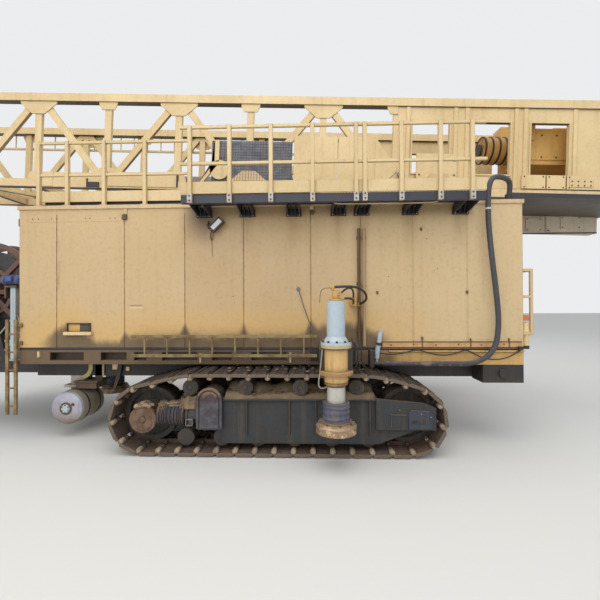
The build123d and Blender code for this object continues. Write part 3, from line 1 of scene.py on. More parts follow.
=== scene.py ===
import json
import bpy
import bmesh
import numpy as np
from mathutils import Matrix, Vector

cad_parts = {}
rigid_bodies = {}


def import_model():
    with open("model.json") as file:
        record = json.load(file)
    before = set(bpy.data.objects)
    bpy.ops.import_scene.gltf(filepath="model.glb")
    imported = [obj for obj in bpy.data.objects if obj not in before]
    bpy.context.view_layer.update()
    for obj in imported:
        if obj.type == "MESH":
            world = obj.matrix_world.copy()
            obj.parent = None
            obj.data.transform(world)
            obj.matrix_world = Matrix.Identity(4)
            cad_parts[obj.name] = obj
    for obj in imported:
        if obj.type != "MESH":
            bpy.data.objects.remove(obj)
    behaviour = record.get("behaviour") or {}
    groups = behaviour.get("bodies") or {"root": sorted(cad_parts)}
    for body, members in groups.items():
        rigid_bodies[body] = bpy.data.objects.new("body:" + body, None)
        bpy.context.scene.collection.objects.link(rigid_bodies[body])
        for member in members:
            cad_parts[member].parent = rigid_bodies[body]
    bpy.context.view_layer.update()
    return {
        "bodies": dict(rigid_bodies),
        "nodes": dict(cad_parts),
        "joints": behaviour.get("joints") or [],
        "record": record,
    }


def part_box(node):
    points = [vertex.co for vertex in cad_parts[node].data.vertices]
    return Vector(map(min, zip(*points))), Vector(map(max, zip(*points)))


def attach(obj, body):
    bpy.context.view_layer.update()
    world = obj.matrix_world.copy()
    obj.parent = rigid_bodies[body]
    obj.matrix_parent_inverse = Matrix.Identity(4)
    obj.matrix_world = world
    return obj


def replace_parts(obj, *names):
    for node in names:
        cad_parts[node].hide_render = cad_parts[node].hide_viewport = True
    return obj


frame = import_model()


# Driving places, read from the frame
houseLow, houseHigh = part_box("house_wall_near")
wallY = houseLow.y                  # outer face of the near wall
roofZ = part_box("house_roof")[1].z
rearX, frontX = houseLow.x, houseHigh.x
walkLow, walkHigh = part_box("walkway")
walkLow.x = rearX + 2.75
jackLow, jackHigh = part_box("jack_ram_near")
jackX, jackY = (jackLow.x + jackHigh.x) / 2, (jackLow.y + jackHigh.y) / 2
casingLow = 1.066                   # the jacks' mouths
hinge = next(joint for joint in frame["joints"] if joint["name"] == "mast_hinge")
pivot = np.array(hinge["pos_m"])
mastLean = np.radians(2.2)          # the lowered mast's crown lies this much above level
sunk = 0.002                        # how deep a fitting stands in what carries it


# Shader kit: expressions on sockets add the nodes
def tone(red, green, blue):  # a screen colour, 0 to 255, as the linear colour that shaders want
    share = np.array([red, green, blue]) / 255
    linear = np.where(share < 0.04045, share / 12.92, ((share + 0.055) / 1.055) ** 2.4)
    return (*linear.tolist(), 1.0)


class Signal:  # one socket; arithmetic on it adds Math nodes
    def __init__(self, kit, socket):
        self.kit, self.socket = kit, socket

    def math(self, operation, *others, first=None):
        values = [self, *others] if first is None else [first, self, *others]
        return self.kit.node("ShaderNodeMath", {"operation": operation}, dict(enumerate(values)))

    def __add__(self, other):
        return self.math("ADD", other)

    def __sub__(self, other):
        return self.math("SUBTRACT", other)

    def __mul__(self, other):
        return self.math("MULTIPLY", other)

    def __rsub__(self, other):
        return self.math("SUBTRACT", first=other)

    __radd__ = __add__
    __rmul__ = __mul__

    def __abs__(self):
        return self.math("ABSOLUTE")

    def most(self, other):
        return self.math("MAXIMUM", other)

    def between(self, low, high):  # 0 below low and 1 above high, smooth between; low may be the larger
        return self.kit.node("ShaderNodeMapRange", {"interpolation_type": "SMOOTHSTEP"}, {0: self, 1: low, 2: high})

    def near(self, middle, reach):  # 1 at the middle, falling to 0 at that reach on both sides
        return abs(self - middle).between(reach, 0.0)


class Nodes:  # the emptied node tree of a material or of the world
    def __init__(self, owner):
        owner.use_nodes = True
        self.tree = owner.node_tree
        self.tree.nodes.clear()

    def node(self, kind, settings=None, sockets=None, output=0):
        made = self.tree.nodes.new(kind)
        for key, value in (settings or {}).items():
            if key == "stops":
                for stop, (at, colour) in zip(made.color_ramp.elements, value):
                    stop.position, stop.color = at, colour
            else:
                setattr(made, key, value)
        for key, value in (sockets or {}).items():
            if isinstance(value, Signal):
                self.tree.links.new(value.socket, made.inputs[key])
            else:
                made.inputs[key].default_value = value
        return None if output is None else Signal(self, made.outputs[output])


class Kit(Nodes):  # one material and the few nodes that every finish here is made from
    def __init__(self, name):
        self.material = bpy.data.materials.new(name)
        super().__init__(self.material)
        shader = self.node("ShaderNodeBsdfPrincipled")
        self.shader = shader.socket.node
        self.node("ShaderNodeOutputMaterial", sockets={0: shader}, output=None)
        self.place = self.node("ShaderNodeTexCoord", output="Object")
        self.x, self.y, self.z = self.split(self.place)

    def split(self, vector):
        first = self.node("ShaderNodeSeparateXYZ", sockets={0: vector})
        outputs = first.socket.node.outputs
        return [Signal(self, socket) for socket in outputs]

    def mix(self, share, first, second, blend="MIX"):
        return self.node("ShaderNodeMix", {"data_type": "RGBA", "blend_type": blend},
                {0: share, 6: first, 7: second}, 2)

    def noise(self, size, detail=4.0, stretch=(1, 1, 1), rough=0.55):  # size in metres, stretch along x, y, z
        scaled = self.node("ShaderNodeMapping", sockets={0: self.place, 3: [1 / s for s in stretch]})
        return self.node("ShaderNodeTexNoise", sockets={0: scaled, "Scale": 1 / size, "Detail": detail,
                "Roughness": rough})

    def finish(self, colour, roughness, metallic=0.0, height=None, strength=0.3, depth=0.01, normal=None):
        for name, value in (("Base Color", colour), ("Roughness", roughness), ("Metallic", metallic)):
            if isinstance(value, Signal):
                self.tree.links.new(value.socket, self.shader.inputs[name])
            else:
                self.shader.inputs[name].default_value = value
        if height is not None:
            sockets = {"Strength": strength, "Distance": depth, "Height": height}
            if normal is not None:
                sockets["Normal"] = normal
            normal = self.node("ShaderNodeBump", {}, sockets)
        if normal is not None:
            self.tree.links.new(normal.socket, self.shader.inputs["Normal"])
        return self.material


# What a weathered finish is made of, besides its two paints; each finish changes only what differs
plainLook = {
    "cloudSize": 0.9, "cloud": 0.7, "streakPaint": (150, 118, 74), "streakSize": 0.07, "streaks": 0.25,
    # the grime colour also darkens creases: painted shade together with the grime that gathers there
    "grime": (84, 68, 50), "creases": 0.6, "creaseReach": 0.09,
    "rust": (104, 60, 34), "chips": 0.35, "chipSize": 0.05, "edges": 0.5, "edgeReach": 0.012,
    "dust": (168, 152, 124), "dustShare": 0.45, "mud": (104, 88, 68), "mudLow": 0.0, "mudHigh": 0.0,
    "rough": 0.55, "roughSpread": 0.2, "metal": 0.0, "bump": 0.25, "grain": 0.012,
    "under": 0.0, "shade": (38, 40, 52),       # painted shade on faces that look down
    "coats": lambda kit, upright: (),          # further (share, colour) pairs, the lowest first
}


def weathered(name, paint, faded, **changes):  # a finish under patches, streaks, worn edges, rust, dust and mud, with painted shade in creases and on faces that look down
    look = {**plainLook, "paint": paint, "faded": faded, **changes}
    look = {key: tone(*value) if isinstance(value, tuple) else value for key, value in look.items()}
    kit = Kit(name)
    faceNormal = kit.node("ShaderNodeTexCoord", output="Normal")
    upward = kit.split(faceNormal)[2]
    upright = abs(upward).between(0.8, 0.3)
    cloud = kit.noise(look["cloudSize"], 5).between(0.36, 0.66)
    speck = kit.noise(look["grain"] * 4, 4)
    colour = kit.mix(cloud * look["cloud"], look["paint"], look["faded"])
    streak = kit.noise(look["streakSize"], 3, (1, 1, 18)).between(0.5, 0.74)
    colour = kit.mix(streak * upright * look["streaks"], colour, look["streakPaint"])
    for share, coat in look["coats"](kit, upright):
        colour = kit.mix(share, colour, tone(*coat))
    rounded = kit.node("ShaderNodeBevel", {"samples": 4}, {0: look["edgeReach"]})
    flat = kit.node("ShaderNodeNewGeometry", output="Normal")
    turn = 1 - kit.node("ShaderNodeVectorMath", {"operation": "DOT_PRODUCT"}, {0: rounded, 1: flat}, 1)
    patch = kit.noise(look["chipSize"] * 3, 5, rough=0.7)
    edge = turn.between(0.01, 0.1) * patch.between(0.42, 0.6) * look["edges"]
    chip = kit.noise(look["chipSize"], 5, rough=0.75).between(0.66, 0.7) * patch.between(0.45, 0.6) * look["chips"]
    worn = edge.most(chip)
    colour = kit.mix(worn, colour, look["rust"])
    # creases found by ambient occlusion are darkened towards the grime colour: painted shade together with grime
    if look["creases"]:
        open_ = kit.node("ShaderNodeAmbientOcclusion", {"samples": 6, "only_local": True},
                {"Distance": look["creaseReach"]}, 1)
        crease = (open_ + (patch - 0.5) * 0.35).between(0.92, 0.35)
        colour = kit.mix(crease * look["creases"], colour, look["grime"])
    if look["dustShare"]:
        dusty = (upward + (cloud - 0.5) * 0.4).between(0.45, 0.95)
        colour = kit.mix(dusty * look["dustShare"], colour, look["dust"])
    if look["mudHigh"]:
        mud = (kit.z + (patch - 0.5) * 0.35 + (speck - 0.5) * 0.12).between(look["mudHigh"], look["mudLow"])
        colour = kit.mix(mud, colour, look["mud"])
        worn = worn.most(mud)
    # painted shade: faces that look down are mixed towards the dark shade colour
    if look["under"]:
        colour = kit.mix(upward.between(-0.3, -0.9) * look["under"], colour, look["shade"])
    colour = kit.mix((speck - 0.5) * 0.5, colour, look["grime"], "MULTIPLY")
    rough = worn * (0.9 - look["rough"]) + look["rough"] + (cloud - 0.5) * look["roughSpread"]
    height = speck * 0.6 + patch * 0.5 - worn * 0.3
    return kit.finish(colour, rough, look["metal"], height, look["bump"], look["grain"], rounded)


# The near wall's own marks, all in metres along the house
wallMarks = {
    "grimeTop": 1.72, "grimeBottom": 1.56, "haloTop": 2.28, "ventMiddle": -2.36, "ventReach": 0.55,
    "jackMiddle": 1.85, "jackReach": 0.75, "bracketsZ": walkLow.z, "stainFall": 0.7, "seamReach": 0.1,
    "stripZ": 3.423, "stripFrom": -2.95, "stripTo": -1.53, "scuffZ": 2.112, "scuffFrom": -1.39, "scuffTo": -1.13,
}
bracketsX = [walkLow.x + at for at in (0.19, 0.86, 1.57, 2.25, 2.6, 3.33, 4.08)]
seamsX = [rearX + at for at in (0.6, 1.68, 2.63, 3.545, 4.575, 5.335, 6.12, 6.93)]


def wallStains(kit, upright):  # grime along the foot, a yellow halo above it, stains under brackets and seams, painted shadow under the walkway at the first bracket
    marks = wallMarks
    ragged = kit.noise(0.35, 5, (1, 1, 1.5))
    fine = kit.noise(0.05, 4, (1, 1, 6))
    outside = kit.y.between(wallY + 0.02, wallY + 0.01)
    vent = kit.x.near(marks["ventMiddle"], marks["ventReach"])
    jack = kit.x.near(marks["jackMiddle"], marks["jackReach"])
    seamDirt = sum((kit.x.near(at, marks["seamReach"]) for at in seamsX[1:7]), kit.x * 0)
    clean = kit.x.between(-1.3, -1.55) * 0.11
    height = kit.z - (vent * 0.26 + jack * 0.2 + seamDirt * 0.13) + clean - (ragged - 0.5) * 0.2 - (fine - 0.5) * 0.08
    reach = kit.x.between(2.75, 2.35) * kit.x.between(rearX + 0.25, rearX + 0.6)
    yield kit.x.between(2.9, 1.9) * 0.3, (184, 152, 108)
    middle = kit.x.between(seamsX[2] - 0.02, seamsX[2] + 0.02) * kit.x.between(1.9, 1.3)
    yield middle * 0.16, (150, 108, 66)
    halo = height.between(marks["haloTop"], 1.7) * kit.x.between(frontX - 0.7, frontX - 2.6)
    yield halo * 0.55, (214, 170, 98)
    grime = height.between(marks["grimeTop"], marks["grimeBottom"]) * reach
    yield grime * 0.9 * outside, (99, 82, 62)
    fall = kit.z.between(marks["bracketsZ"] - marks["stainFall"], marks["bracketsZ"] + 0.1)
    under = sum((kit.x.near(at, 0.17) for at in bracketsX), kit.x * 0)
    yield under * fall * (fine * 0.5 + 0.3) * 0.75 * outside, (150, 112, 70)
    # painted shadow on the wall under the walkway round the first bracket
    bracketShadow = kit.x.near(bracketsX[0] - 0.05, 0.42) * kit.z.between(2.95, 3.5)
    yield bracketShadow * 0.75 * outside, (78, 66, 58)
    lip = kit.z.between(3.38, 3.56) * kit.x.between(walkLow.x - 0.1, walkLow.x + 0.1)
    yield lip * kit.x.between(walkHigh.x + 0.05, walkHigh.x) * 0.45 * outside, (120, 92, 62)
    weep = kit.x.near(seamsX[0] + 0.02, 0.05) * kit.z.near(2.75, 0.75) * fine.between(0.4, 0.62)
    yield weep * 0.6, (130, 104, 86)
    strip = kit.z.near(marks["stripZ"], 0.012) * kit.x.between(marks["stripFrom"] - 0.01, marks["stripFrom"] + 0.01)
    yield strip * kit.x.between(marks["stripTo"] + 0.01, marks["stripTo"] - 0.01) * 0.3, (140, 110, 72)
    scuff = kit.x.between(marks["scuffFrom"], marks["scuffFrom"] + 0.04)
    scuff = scuff * kit.x.between(marks["scuffTo"], marks["scuffTo"] - 0.08)
    yield scuff * kit.z.near(marks["scuffZ"], 0.02) * 0.6, (112, 92, 66)
    yield scuff * kit.z.near(marks["scuffZ"] - 0.035, 0.02) * 0.6, (232, 212, 172)
    rub = kit.x.near(seamsX[3] + 0.16, 0.14) * kit.z.near(2.75, 0.5)
    yield rub * 0.3 * outside, (196, 156, 96)
    seams = sum((kit.x.near(at, 0.009) for at in seamsX), kit.x * 0)
    yield seams * 0.35 * outside, (140, 110, 72)


def jackTones(kit, upright):  # pale blue-grey above the flange, cream flange, brown ring, dirty mouth
    ragged = kit.noise(0.06, 4)
    height = kit.z + (ragged - 0.5) * 0.02
    yield height.between(1.605, 1.612), (180, 194, 202)
    yield height.near(1.585, 0.026).between(0.0, 0.2), (190, 170, 134)
    rust = (kit.z + (ragged - 0.5) * 0.12).between(casingLow + 0.1, casingLow + 0.01)
    yield rust * 0.85, (96, 60, 38)
    ring = kit.z.near(1.247, 0.03).between(0.2, 0.5)
    yield ring * 0.7, (136, 96, 62)
    streak = kit.noise(0.05, 4, (1, 1, 12)).between(0.5, 0.68) * kit.z.between(1.6, 1.4)
    yield streak * 0.35, (120, 84, 52)


def ramTones(kit, upright):  # the pad is caked with pale brown dirt, the ram above it is clean
    ragged = kit.noise(0.07, 5, rough=0.7)
    pad = kit.z.between(0.69, 0.67)
    yield pad, (150, 122, 96)
    yield pad * ragged.between(0.5, 0.62), (212, 184, 146)
    yield ragged.between(0.66, 0.72) * 0.7, (92, 74, 60)


def hoodTones(kit, upright):  # brown earth on the gearbox's hood, purplish below it, then bare blue-grey
    height = kit.z + (kit.noise(0.08, 5, rough=0.7) - 0.5) * 0.22
    yield height.between(0.74, 0.8), (76, 60, 66)
    yield height.between(0.83, 0.88), (124, 102, 84)


def hoseDirt(kit, upright):  # the lower run is caked with grease and grey dirt, purplish here and there
    ragged = kit.noise(0.12, 5, (2, 1, 1))
    low = kit.z.between(1.36, 1.28) * (kit.x + (ragged - 0.5) * 0.5).between(4.0, 3.5)
    yield low * 0.85, (62, 56, 62)
    patch = kit.noise(0.05, 4).between(0.56, 0.66)
    yield low * patch * 0.7, (122, 100, 110)
    yield low * ragged.between(0.55, 0.62) * 0.6, (140, 122, 104)


def pipeTones(kit, upright):  # the rear pipe is dark brown, the front one the wall's colour with dark edges
    yield kit.x.between(2.2, 2.215), (176, 146, 108)


def shoeTones(kit, upright):  # worn pale ends, painted shadow on the tops and towards the house, reddish here and there
    ragged = kit.noise(0.1, 5)
    side = abs(kit.y) + (ragged - 0.5) * 0.08
    yield kit.noise(0.5, 3).between(0.5, 0.64) * 0.4, (116, 78, 62)
    yield side.between(2.12, 2.145) * 0.5, (120, 104, 88)
    # painted shadow: top faces of the upper run, which lie under the house's side beams, are darkened
    top = upright.between(0.7, 0.2) * kit.z.between(0.8, 0.95)
    yield top * 0.8, (52, 43, 37)
    # painted shadow: the upper run darkens towards the house
    yield side.between(2.12, 2.02) * kit.z.between(0.9, 1.05) * 0.85, (44, 37, 33)


def skirtDirt(kit, upright):  # the side beam is dark with grime towards the rear, yellow at the drill end
    ragged = kit.noise(0.3, 5, (1.6, 1, 1))
    grime = (kit.x + (ragged - 0.5) * 1.6).between(2.95, 2.2)
    yield grime * 0.92, (92, 76, 60)
    splash = ragged.between(0.5, 0.7) * (1 - grime)
    yield splash * 0.35, (150, 108, 72)


finishes = {
    "wall": weathered("houseWall", (213, 186, 143), (206, 178, 132), streaks=0.12, chips=0.5, cloudSize=1.6,
        chipSize=0.035, coats=wallStains, bump=0.12, creases=0.12),
    "house": weathered("housePaint", (213, 186, 143), (204, 176, 130), streaks=0.22, mudLow=1.35, mudHigh=1.75,
        mud=(116, 96, 72), bump=0.15),
    # the mast's downward faces take painted shade (under=0.9)
    "cream": weathered("mastPaint", (228, 202, 152), (214, 186, 136), streaks=0.18, chips=0.5, creases=0.65,
        grime=(112, 88, 60), under=0.9),
    "rail": weathered("railPaint", (222, 197, 150), (208, 182, 134), streaks=0.1, chips=0.6, chipSize=0.03,
        creases=0.3, grime=(130, 96, 60)),
    "skirt": weathered("skirtPaint", (214, 172, 106), (200, 156, 94), coats=skirtDirt, grime=(58, 46, 36),
        creases=0.85, creaseReach=0.16, chips=0.6, streaks=0.35),
    "yellow": weathered("yellowPaint", (214, 170, 96), (198, 152, 84), streaks=0.35, mudLow=0.9, mudHigh=1.15,
        mud=(110, 88, 62)),
    "jack": weathered("jackPaint", (217, 178, 116), (204, 163, 100), coats=jackTones, streaks=0.1, chips=0.5,
        dustShare=0.2, creases=0.7, rough=0.42),
    "dark": weathered("channelPaint", (52, 54, 66), (62, 62, 70), streakPaint=(48, 44, 46), rust=(120, 84, 60),
        dust=(128, 122, 116), grime=(34, 30, 30), rough=0.5),
    "frame": weathered("framePaint", (44, 41, 42), (58, 52, 48), streakPaint=(78, 66, 54), rust=(96, 72, 52),
        dust=(120, 108, 92), grime=(26, 23, 22), mudLow=0.75, mudHigh=1.05, mud=(84, 72, 58)),
    "track": weathered("trackSteel", (86, 73, 62), (106, 89, 75), cloudSize=0.3, streaks=0.2, grime=(44, 36, 30),
        creases=0.85, rust=(140, 122, 106), edges=0.8, dust=(108, 92, 74), dustShare=0.15, rough=0.78, bump=0.9,
        grain=0.02, coats=shoeTones),
    "lump": weathered("wornPin", (168, 150, 128), (130, 108, 88), cloudSize=0.08, cloud=1.0, grime=(60, 48, 38),
        creases=0.7, dustShare=0.2, rough=0.7, bump=0.6),
    "roller": weathered("rollerSteel", (58, 53, 49), (72, 64, 56), cloudSize=0.25, grime=(34, 30, 28), creases=0.8,
        rust=(96, 78, 62), rough=0.6, bump=0.6),
    "muddy": weathered("trackFrameMud", (54, 57, 60), (66, 62, 58), cloudSize=0.4, grime=(36, 32, 30), creases=0.8,
        dust=(132, 112, 86), dustShare=0.9, streakPaint=(92, 80, 66), streaks=0.4, rough=0.82, bump=0.8, grain=0.02),
    "drive": weathered("travelDrivePaint", (64, 64, 80), (88, 78, 70), cloudSize=0.25, grime=(46, 38, 32),
        creases=0.85, dust=(132, 110, 84), dustShare=0.9, streakPaint=(110, 92, 72), streaks=0.6, rough=0.75,
        bump=0.7),
    "hub": weathered("earthenHub", (124, 98, 78), (100, 78, 62), cloudSize=0.12, cloud=1.0, grime=(64, 48, 38),
        creases=0.6, streakPaint=(150, 124, 100), streakSize=0.03, streaks=0.6, dust=(150, 124, 98), rough=0.92,
        bump=0.9, grain=0.02),
    "brown": weathered("earthBrown", (92, 80, 66), (110, 92, 72), cloudSize=0.2, grime=(48, 40, 32), creases=0.7,
        streaks=0.5, dust=(136, 116, 88), rough=0.85, bump=0.6),
    "earth": weathered("driedEarth", (134, 114, 88), (104, 88, 68), cloudSize=0.12, cloud=1.0, grime=(66, 54, 42),
        creases=0.5, streaks=0.0, chips=0.0, edges=0.0, dustShare=0.3, dust=(164, 144, 114), rough=0.95, bump=1.0,
        grain=0.03),
    "paleEarth": weathered("paleEarth", (172, 148, 122), (138, 112, 90), cloudSize=0.06, cloud=1.0,
        grime=(84, 66, 52), creases=0.7, streaks=0.0, chips=0.0, edges=0.0, dustShare=0.3, rough=0.95, bump=1.0,
        grain=0.02),
    "hood": weathered("gearboxHood", (86, 86, 94), (74, 68, 72), cloudSize=0.1, cloud=1.0,
        streakPaint=(120, 108, 96), streaks=0.7, grime=(46, 38, 36), creases=0.7, rough=0.85, bump=0.8,
        coats=hoodTones),
    "tongs": weathered("tongPaint", (212, 198, 176), (188, 172, 148), streaks=0.3, chips=0.6, creases=0.8,
        grime=(84, 70, 56)),
    "navy": weathered("navyPlate", (50, 56, 72), (66, 66, 74), cloudSize=0.15, grime=(30, 28, 30),
        dust=(140, 124, 98), dustShare=0.9, streaks=0.3, streakPaint=(96, 84, 70), rough=0.6, bump=0.5),
    "bare": weathered("wornSteel", (168, 166, 158), (148, 144, 134), metal=0.55, rough=0.4, streaks=0.3, chips=0.4,
        dustShare=0.3),
    "ram": weathered("ramSteel", (202, 200, 190), (186, 184, 172), metal=0.15, rough=0.35, streaks=0.2, chips=0.6,
        chipSize=0.03, dustShare=0.5, coats=ramTones),
    "rod": weathered("rodSteel", (128, 120, 112), (104, 92, 82), metal=0.7, rough=0.42, streaks=0.3,
        rust=(122, 78, 50), chips=0.8),
    "rubber": weathered("dustyRubber", (62, 63, 68), (80, 79, 80), cloudSize=0.2, streaks=0.2,
        streakPaint=(110, 104, 104), rust=(104, 98, 96), dust=(138, 130, 124), grime=(44, 42, 48), rough=0.62,
        bump=0.35, coats=hoseDirt),
    "black": weathered("blackRubber", (36, 34, 36), (58, 54, 54), cloudSize=0.1, rough=0.5, rust=(88, 80, 74),
        dust=(112, 104, 96), bump=0.2),
    "blueGrey": weathered("cylinderPaint", (182, 194, 200), (166, 178, 184), rough=0.4, streaks=0.25, chips=0.4,
        dustShare=0.25),
    "lilac": weathered("receiverPaint", (178, 178, 192), (158, 152, 158), cloudSize=0.3, cloud=0.8,
        rust=(116, 84, 62), chips=0.9, streaks=0.4, mudLow=0.22, mudHigh=0.46, mud=(136, 116, 92)),
    "olive": weathered("receiverShell", (178, 170, 154), (150, 140, 122), cloudSize=0.3, cloud=1.0,
        rust=(112, 78, 54), chips=0.9, streaks=0.5, grime=(60, 50, 40)),
    "straw": weathered("strawPaint", (186, 172, 116), (160, 144, 96), streaks=0.4, chips=0.8, grime=(90, 76, 52)),
    "reel": weathered("reelPaint", (112, 74, 60), (92, 74, 68), rust=(74, 50, 40), streaks=0.4, grime=(52, 42, 38),
        creases=0.8),
    "pipe": weathered("pipePaint", (112, 86, 58), (136, 108, 74), streaks=0.4, chips=0.8),
    "rust": weathered("rustyIron", (150, 132, 92), (120, 96, 66), cloudSize=0.15, cloud=1.0, streaks=0.4, rough=0.85,
        chips=0.9, bump=0.5),
    "servicePipes": weathered("servicePipePaint", (84, 60, 42), (104, 76, 52), streaks=0.4, coats=pipeTones),
    "footStrip": weathered("footStripPaint", (208, 166, 112), (192, 148, 100), cloudSize=0.15, cloud=1.0,
        streaks=0.4, chips=0.5, grime=(110, 82, 54)),
    "orange": weathered("orangePaint", (206, 122, 66), (186, 108, 62), chips=0.6),
    "mesh": weathered("meshPaint", (124, 128, 134), (106, 112, 122), cloudSize=0.1, cloud=1.0, streaks=0.3,
        rough=0.7, bump=0.6, chips=0.3),
    "foot": weathered("postFootPaint", (198, 192, 184), (172, 158, 140), cloudSize=0.08, streaks=0.4, chips=0.8,
        chipSize=0.02, rust=(96, 70, 50)),
    "grey": weathered("greyPaint", (126, 128, 128), (106, 106, 106), streaks=0.35),
    "blue": weathered("motorPaint", (64, 92, 150), (78, 92, 126), streaks=0.3),
    "lamp": weathered("lampFace", (206, 204, 198), (188, 186, 180), rough=0.25, streaks=0.1, chips=0.0, creases=0.2,
        bump=0.05),
    "guard": weathered("guardRubber", (78, 80, 98), (94, 94, 106), cloudSize=0.15, streakPaint=(124, 112, 98),
        streaks=0.5, grime=(44, 42, 46), creases=0.9, creaseReach=0.04, dust=(134, 124, 112), rough=0.7, bump=0.5),
    "seat": weathered("seatVinyl", (44, 44, 48), (58, 56, 58), rough=0.6, chips=0.1, streaks=0.0),
}


def paneGlass():  # thin dusty glass
    kit = Kit("dustyGlass")
    dirt = kit.noise(0.25, 5).between(0.4, 0.75)
    colour = kit.mix(dirt * 0.6, tone(150, 168, 172), tone(176, 164, 138))
    material = kit.finish(colour, dirt * 0.4 + 0.06)
    kit.tree.links.new((dirt * 0.25 + 0.42).socket, kit.shader.inputs["Alpha"])
    return material


finishes["glass"] = paneGlass()
nodeFinish = {
    "wall": ["house_wall_near"],
    "house": ["house_wall_far", "house_wall_rear", "well_lining", "house_roof", "house_door", "mast_towers",
              "front_landing", "cab_shell", "cab_door"],
    "cream": ["mast_lattice", "mast_table", "mast_crown", "rod_cradles"], "tongs": ["tong_frame"],
    "rail": ["railings"], "skirt": ["side_beams"], "yellow": ["rotary_head", "cab_landing", "jack_valves"],
    "jack": ["jack_housings"], "dark": ["walkway", "mast_rest", "mast_cylinder_brackets"],
    "frame": ["main_girders", "cross_beams", "deck_plate", "axle_beams", "reel_stand", "jack_arms", "hose_fittings"],
    "track": ["track_near", "track_far"], "roller": ["track_wheels"], "muddy": ["track_frames"],
    "drive": ["travel_drives"],
    "ram": ["jack_ram_near", "jack_ram_far", "jack_ram_rear"], "bare": ["mast_cylinder_rods"],
    "rod": ["spare_rods", "drill_spindle"], "blueGrey": ["mast_cylinder_barrels"], "olive": ["air_receiver"],
    "reel": ["cable_reel"], "servicePipes": ["service_pipes"], "rust": ["ladders"], "grey": ["compressor_block"],
    "glass": ["cab_glass", "cab_door_glass"], "seat": ["cab_fittings"],
    "rubber": ["air_hose"], "black": ["skirt_cable", "jack_hose_upper", "jack_hose_middle", "jack_hose_lower"],
}
for finishName, nodes in nodeFinish.items():
    for node in nodes:
        mesh = frame["nodes"][node].data
        mesh.materials.clear()
        mesh.materials.append(finishes[finishName])
unpainted = set(frame["nodes"]) - {node for nodes in nodeFinish.values() for node in nodes}
print("finishes:", len(finishes), "nodes without one:", sorted(unpainted))


# Surfaces are pairs of points (n, 3) and four-cornered faces (m, 4), worked out as whole arrays
def spots(x, y, z):  # points from arrays or single values of x, y and z
    return np.stack(np.broadcast_arrays(x, y, z), axis=1)


def gridFaces(rows, columns):  # faces of a grid whose columns close on themselves
    row, column = np.meshgrid(np.arange(rows - 1), np.arange(columns), indexing="ij")
    row, column = row.ravel(), column.ravel()
    beside = (column + 1) % columns
    return np.stack([row * columns + column, row * columns + beside, (row + 1) * columns + beside,
            (row + 1) * columns + column], axis=1)


def unit(vectors):  # each vector divided by its length
    return vectors / np.linalg.norm(vectors, axis=-1, keepdims=True)


def turned(profile, centre, axis="Z", sides=24):
    # each (radius, height) of the profile goes round the axis: centre + radius * (cos, sin) + height * axis
    radius, height = np.array(profile, float).T
    angle = np.linspace(0, 2 * np.pi, sides, endpoint=False) + np.pi / sides
    ring = np.stack([np.cos(angle), np.sin(angle)], axis=1)
    flat = radius[:, None, None] * ring[None]
    points = np.concatenate([flat, np.broadcast_to(height[:, None, None], (len(height), sides, 1))], axis=2)
    order = {"Z": [0, 1, 2], "X": [2, 0, 1], "Y": [1, 2, 0]}[axis]
    return points.reshape(-1, 3)[:, order] + np.array(centre), gridFaces(len(radius), sides)


def carried(section, path, reference=(0, 0, 1), scale=None):
    # a closed section of (side, up) points carried along a path: path + side * s + up * u, with closed ends
    path = np.array(path, float)
    section = np.array(section, float)
    along = unit(np.gradient(path, axis=0))
    side = unit(np.cross(np.array(reference, float), along))
    up = np.cross(along, side)
    scale = np.ones(len(path)) if scale is None else np.array(scale, float)
    spread = section[None] * scale[:, None, None]
    rings = path[:, None] + spread[..., :1] * side[:, None] + spread[..., 1:] * up[:, None]
    ends = [np.broadcast_to(rings[i].mean(0), rings[i].shape)[None] for i in (0, -1)]
    rings = np.concatenate([ends[0], rings, ends[1]])
    return rings.reshape(-1, 3), gridFaces(len(rings), len(section))


def roundSection(radius, sides=10):  # a circle: radius * (cos, sin) of the angle
    angle = np.linspace(0, 2 * np.pi, sides, endpoint=False)
    return np.stack([np.cos(angle), np.sin(angle)], axis=1) * radius


def flatSection(width, thick):  # half sizes of a flat bar
    return [(-width, -thick), (width, -thick), (width, thick), (-width, thick)]


def smoothPath(points, steps=6):  # a quadratic B-spline through the middles of the runs, from first to last point
    points = np.array(points, float)
    points = np.concatenate([2 * points[:1] - points[1:2], points, 2 * points[-1:] - points[-2:-1]])
    share = np.linspace(0, 1, steps, endpoint=False)[:, None]
    weights = ((1 - share) ** 2 / 2, share * (1 - share) + 0.5, share ** 2 / 2)
    runs = sum(weight[None] * points[i:len(points) - 2 + i, None] for i, weight in enumerate(weights))
    return np.concatenate([runs.reshape(-1, 3), (points[-2:-1] + points[-1:]) / 2])


def boxes(*rows):  # boxes from rows of x0, x1, y0, y1, z0, z1: low * (1 - corner) + high * corner
    table = np.array(rows, float).reshape(-1, 3, 2)
    low, high = table.min(2), table.max(2)
    corner = np.array([(i, j, k) for k in (0, 1) for i, j in ((0, 0), (1, 0), (1, 1), (0, 1))], float)
    points = low[:, None] * (1 - corner) + high[:, None] * corner
    sides = np.array([(0, 3, 2, 1), (4, 5, 6, 7), (0, 1, 5, 4), (1, 2, 6, 5), (2, 3, 7, 6), (3, 0, 4, 7)])
    return points.reshape(-1, 3), (sides[None] + 8 * np.arange(len(table))[:, None, None]).reshape(-1, 4)


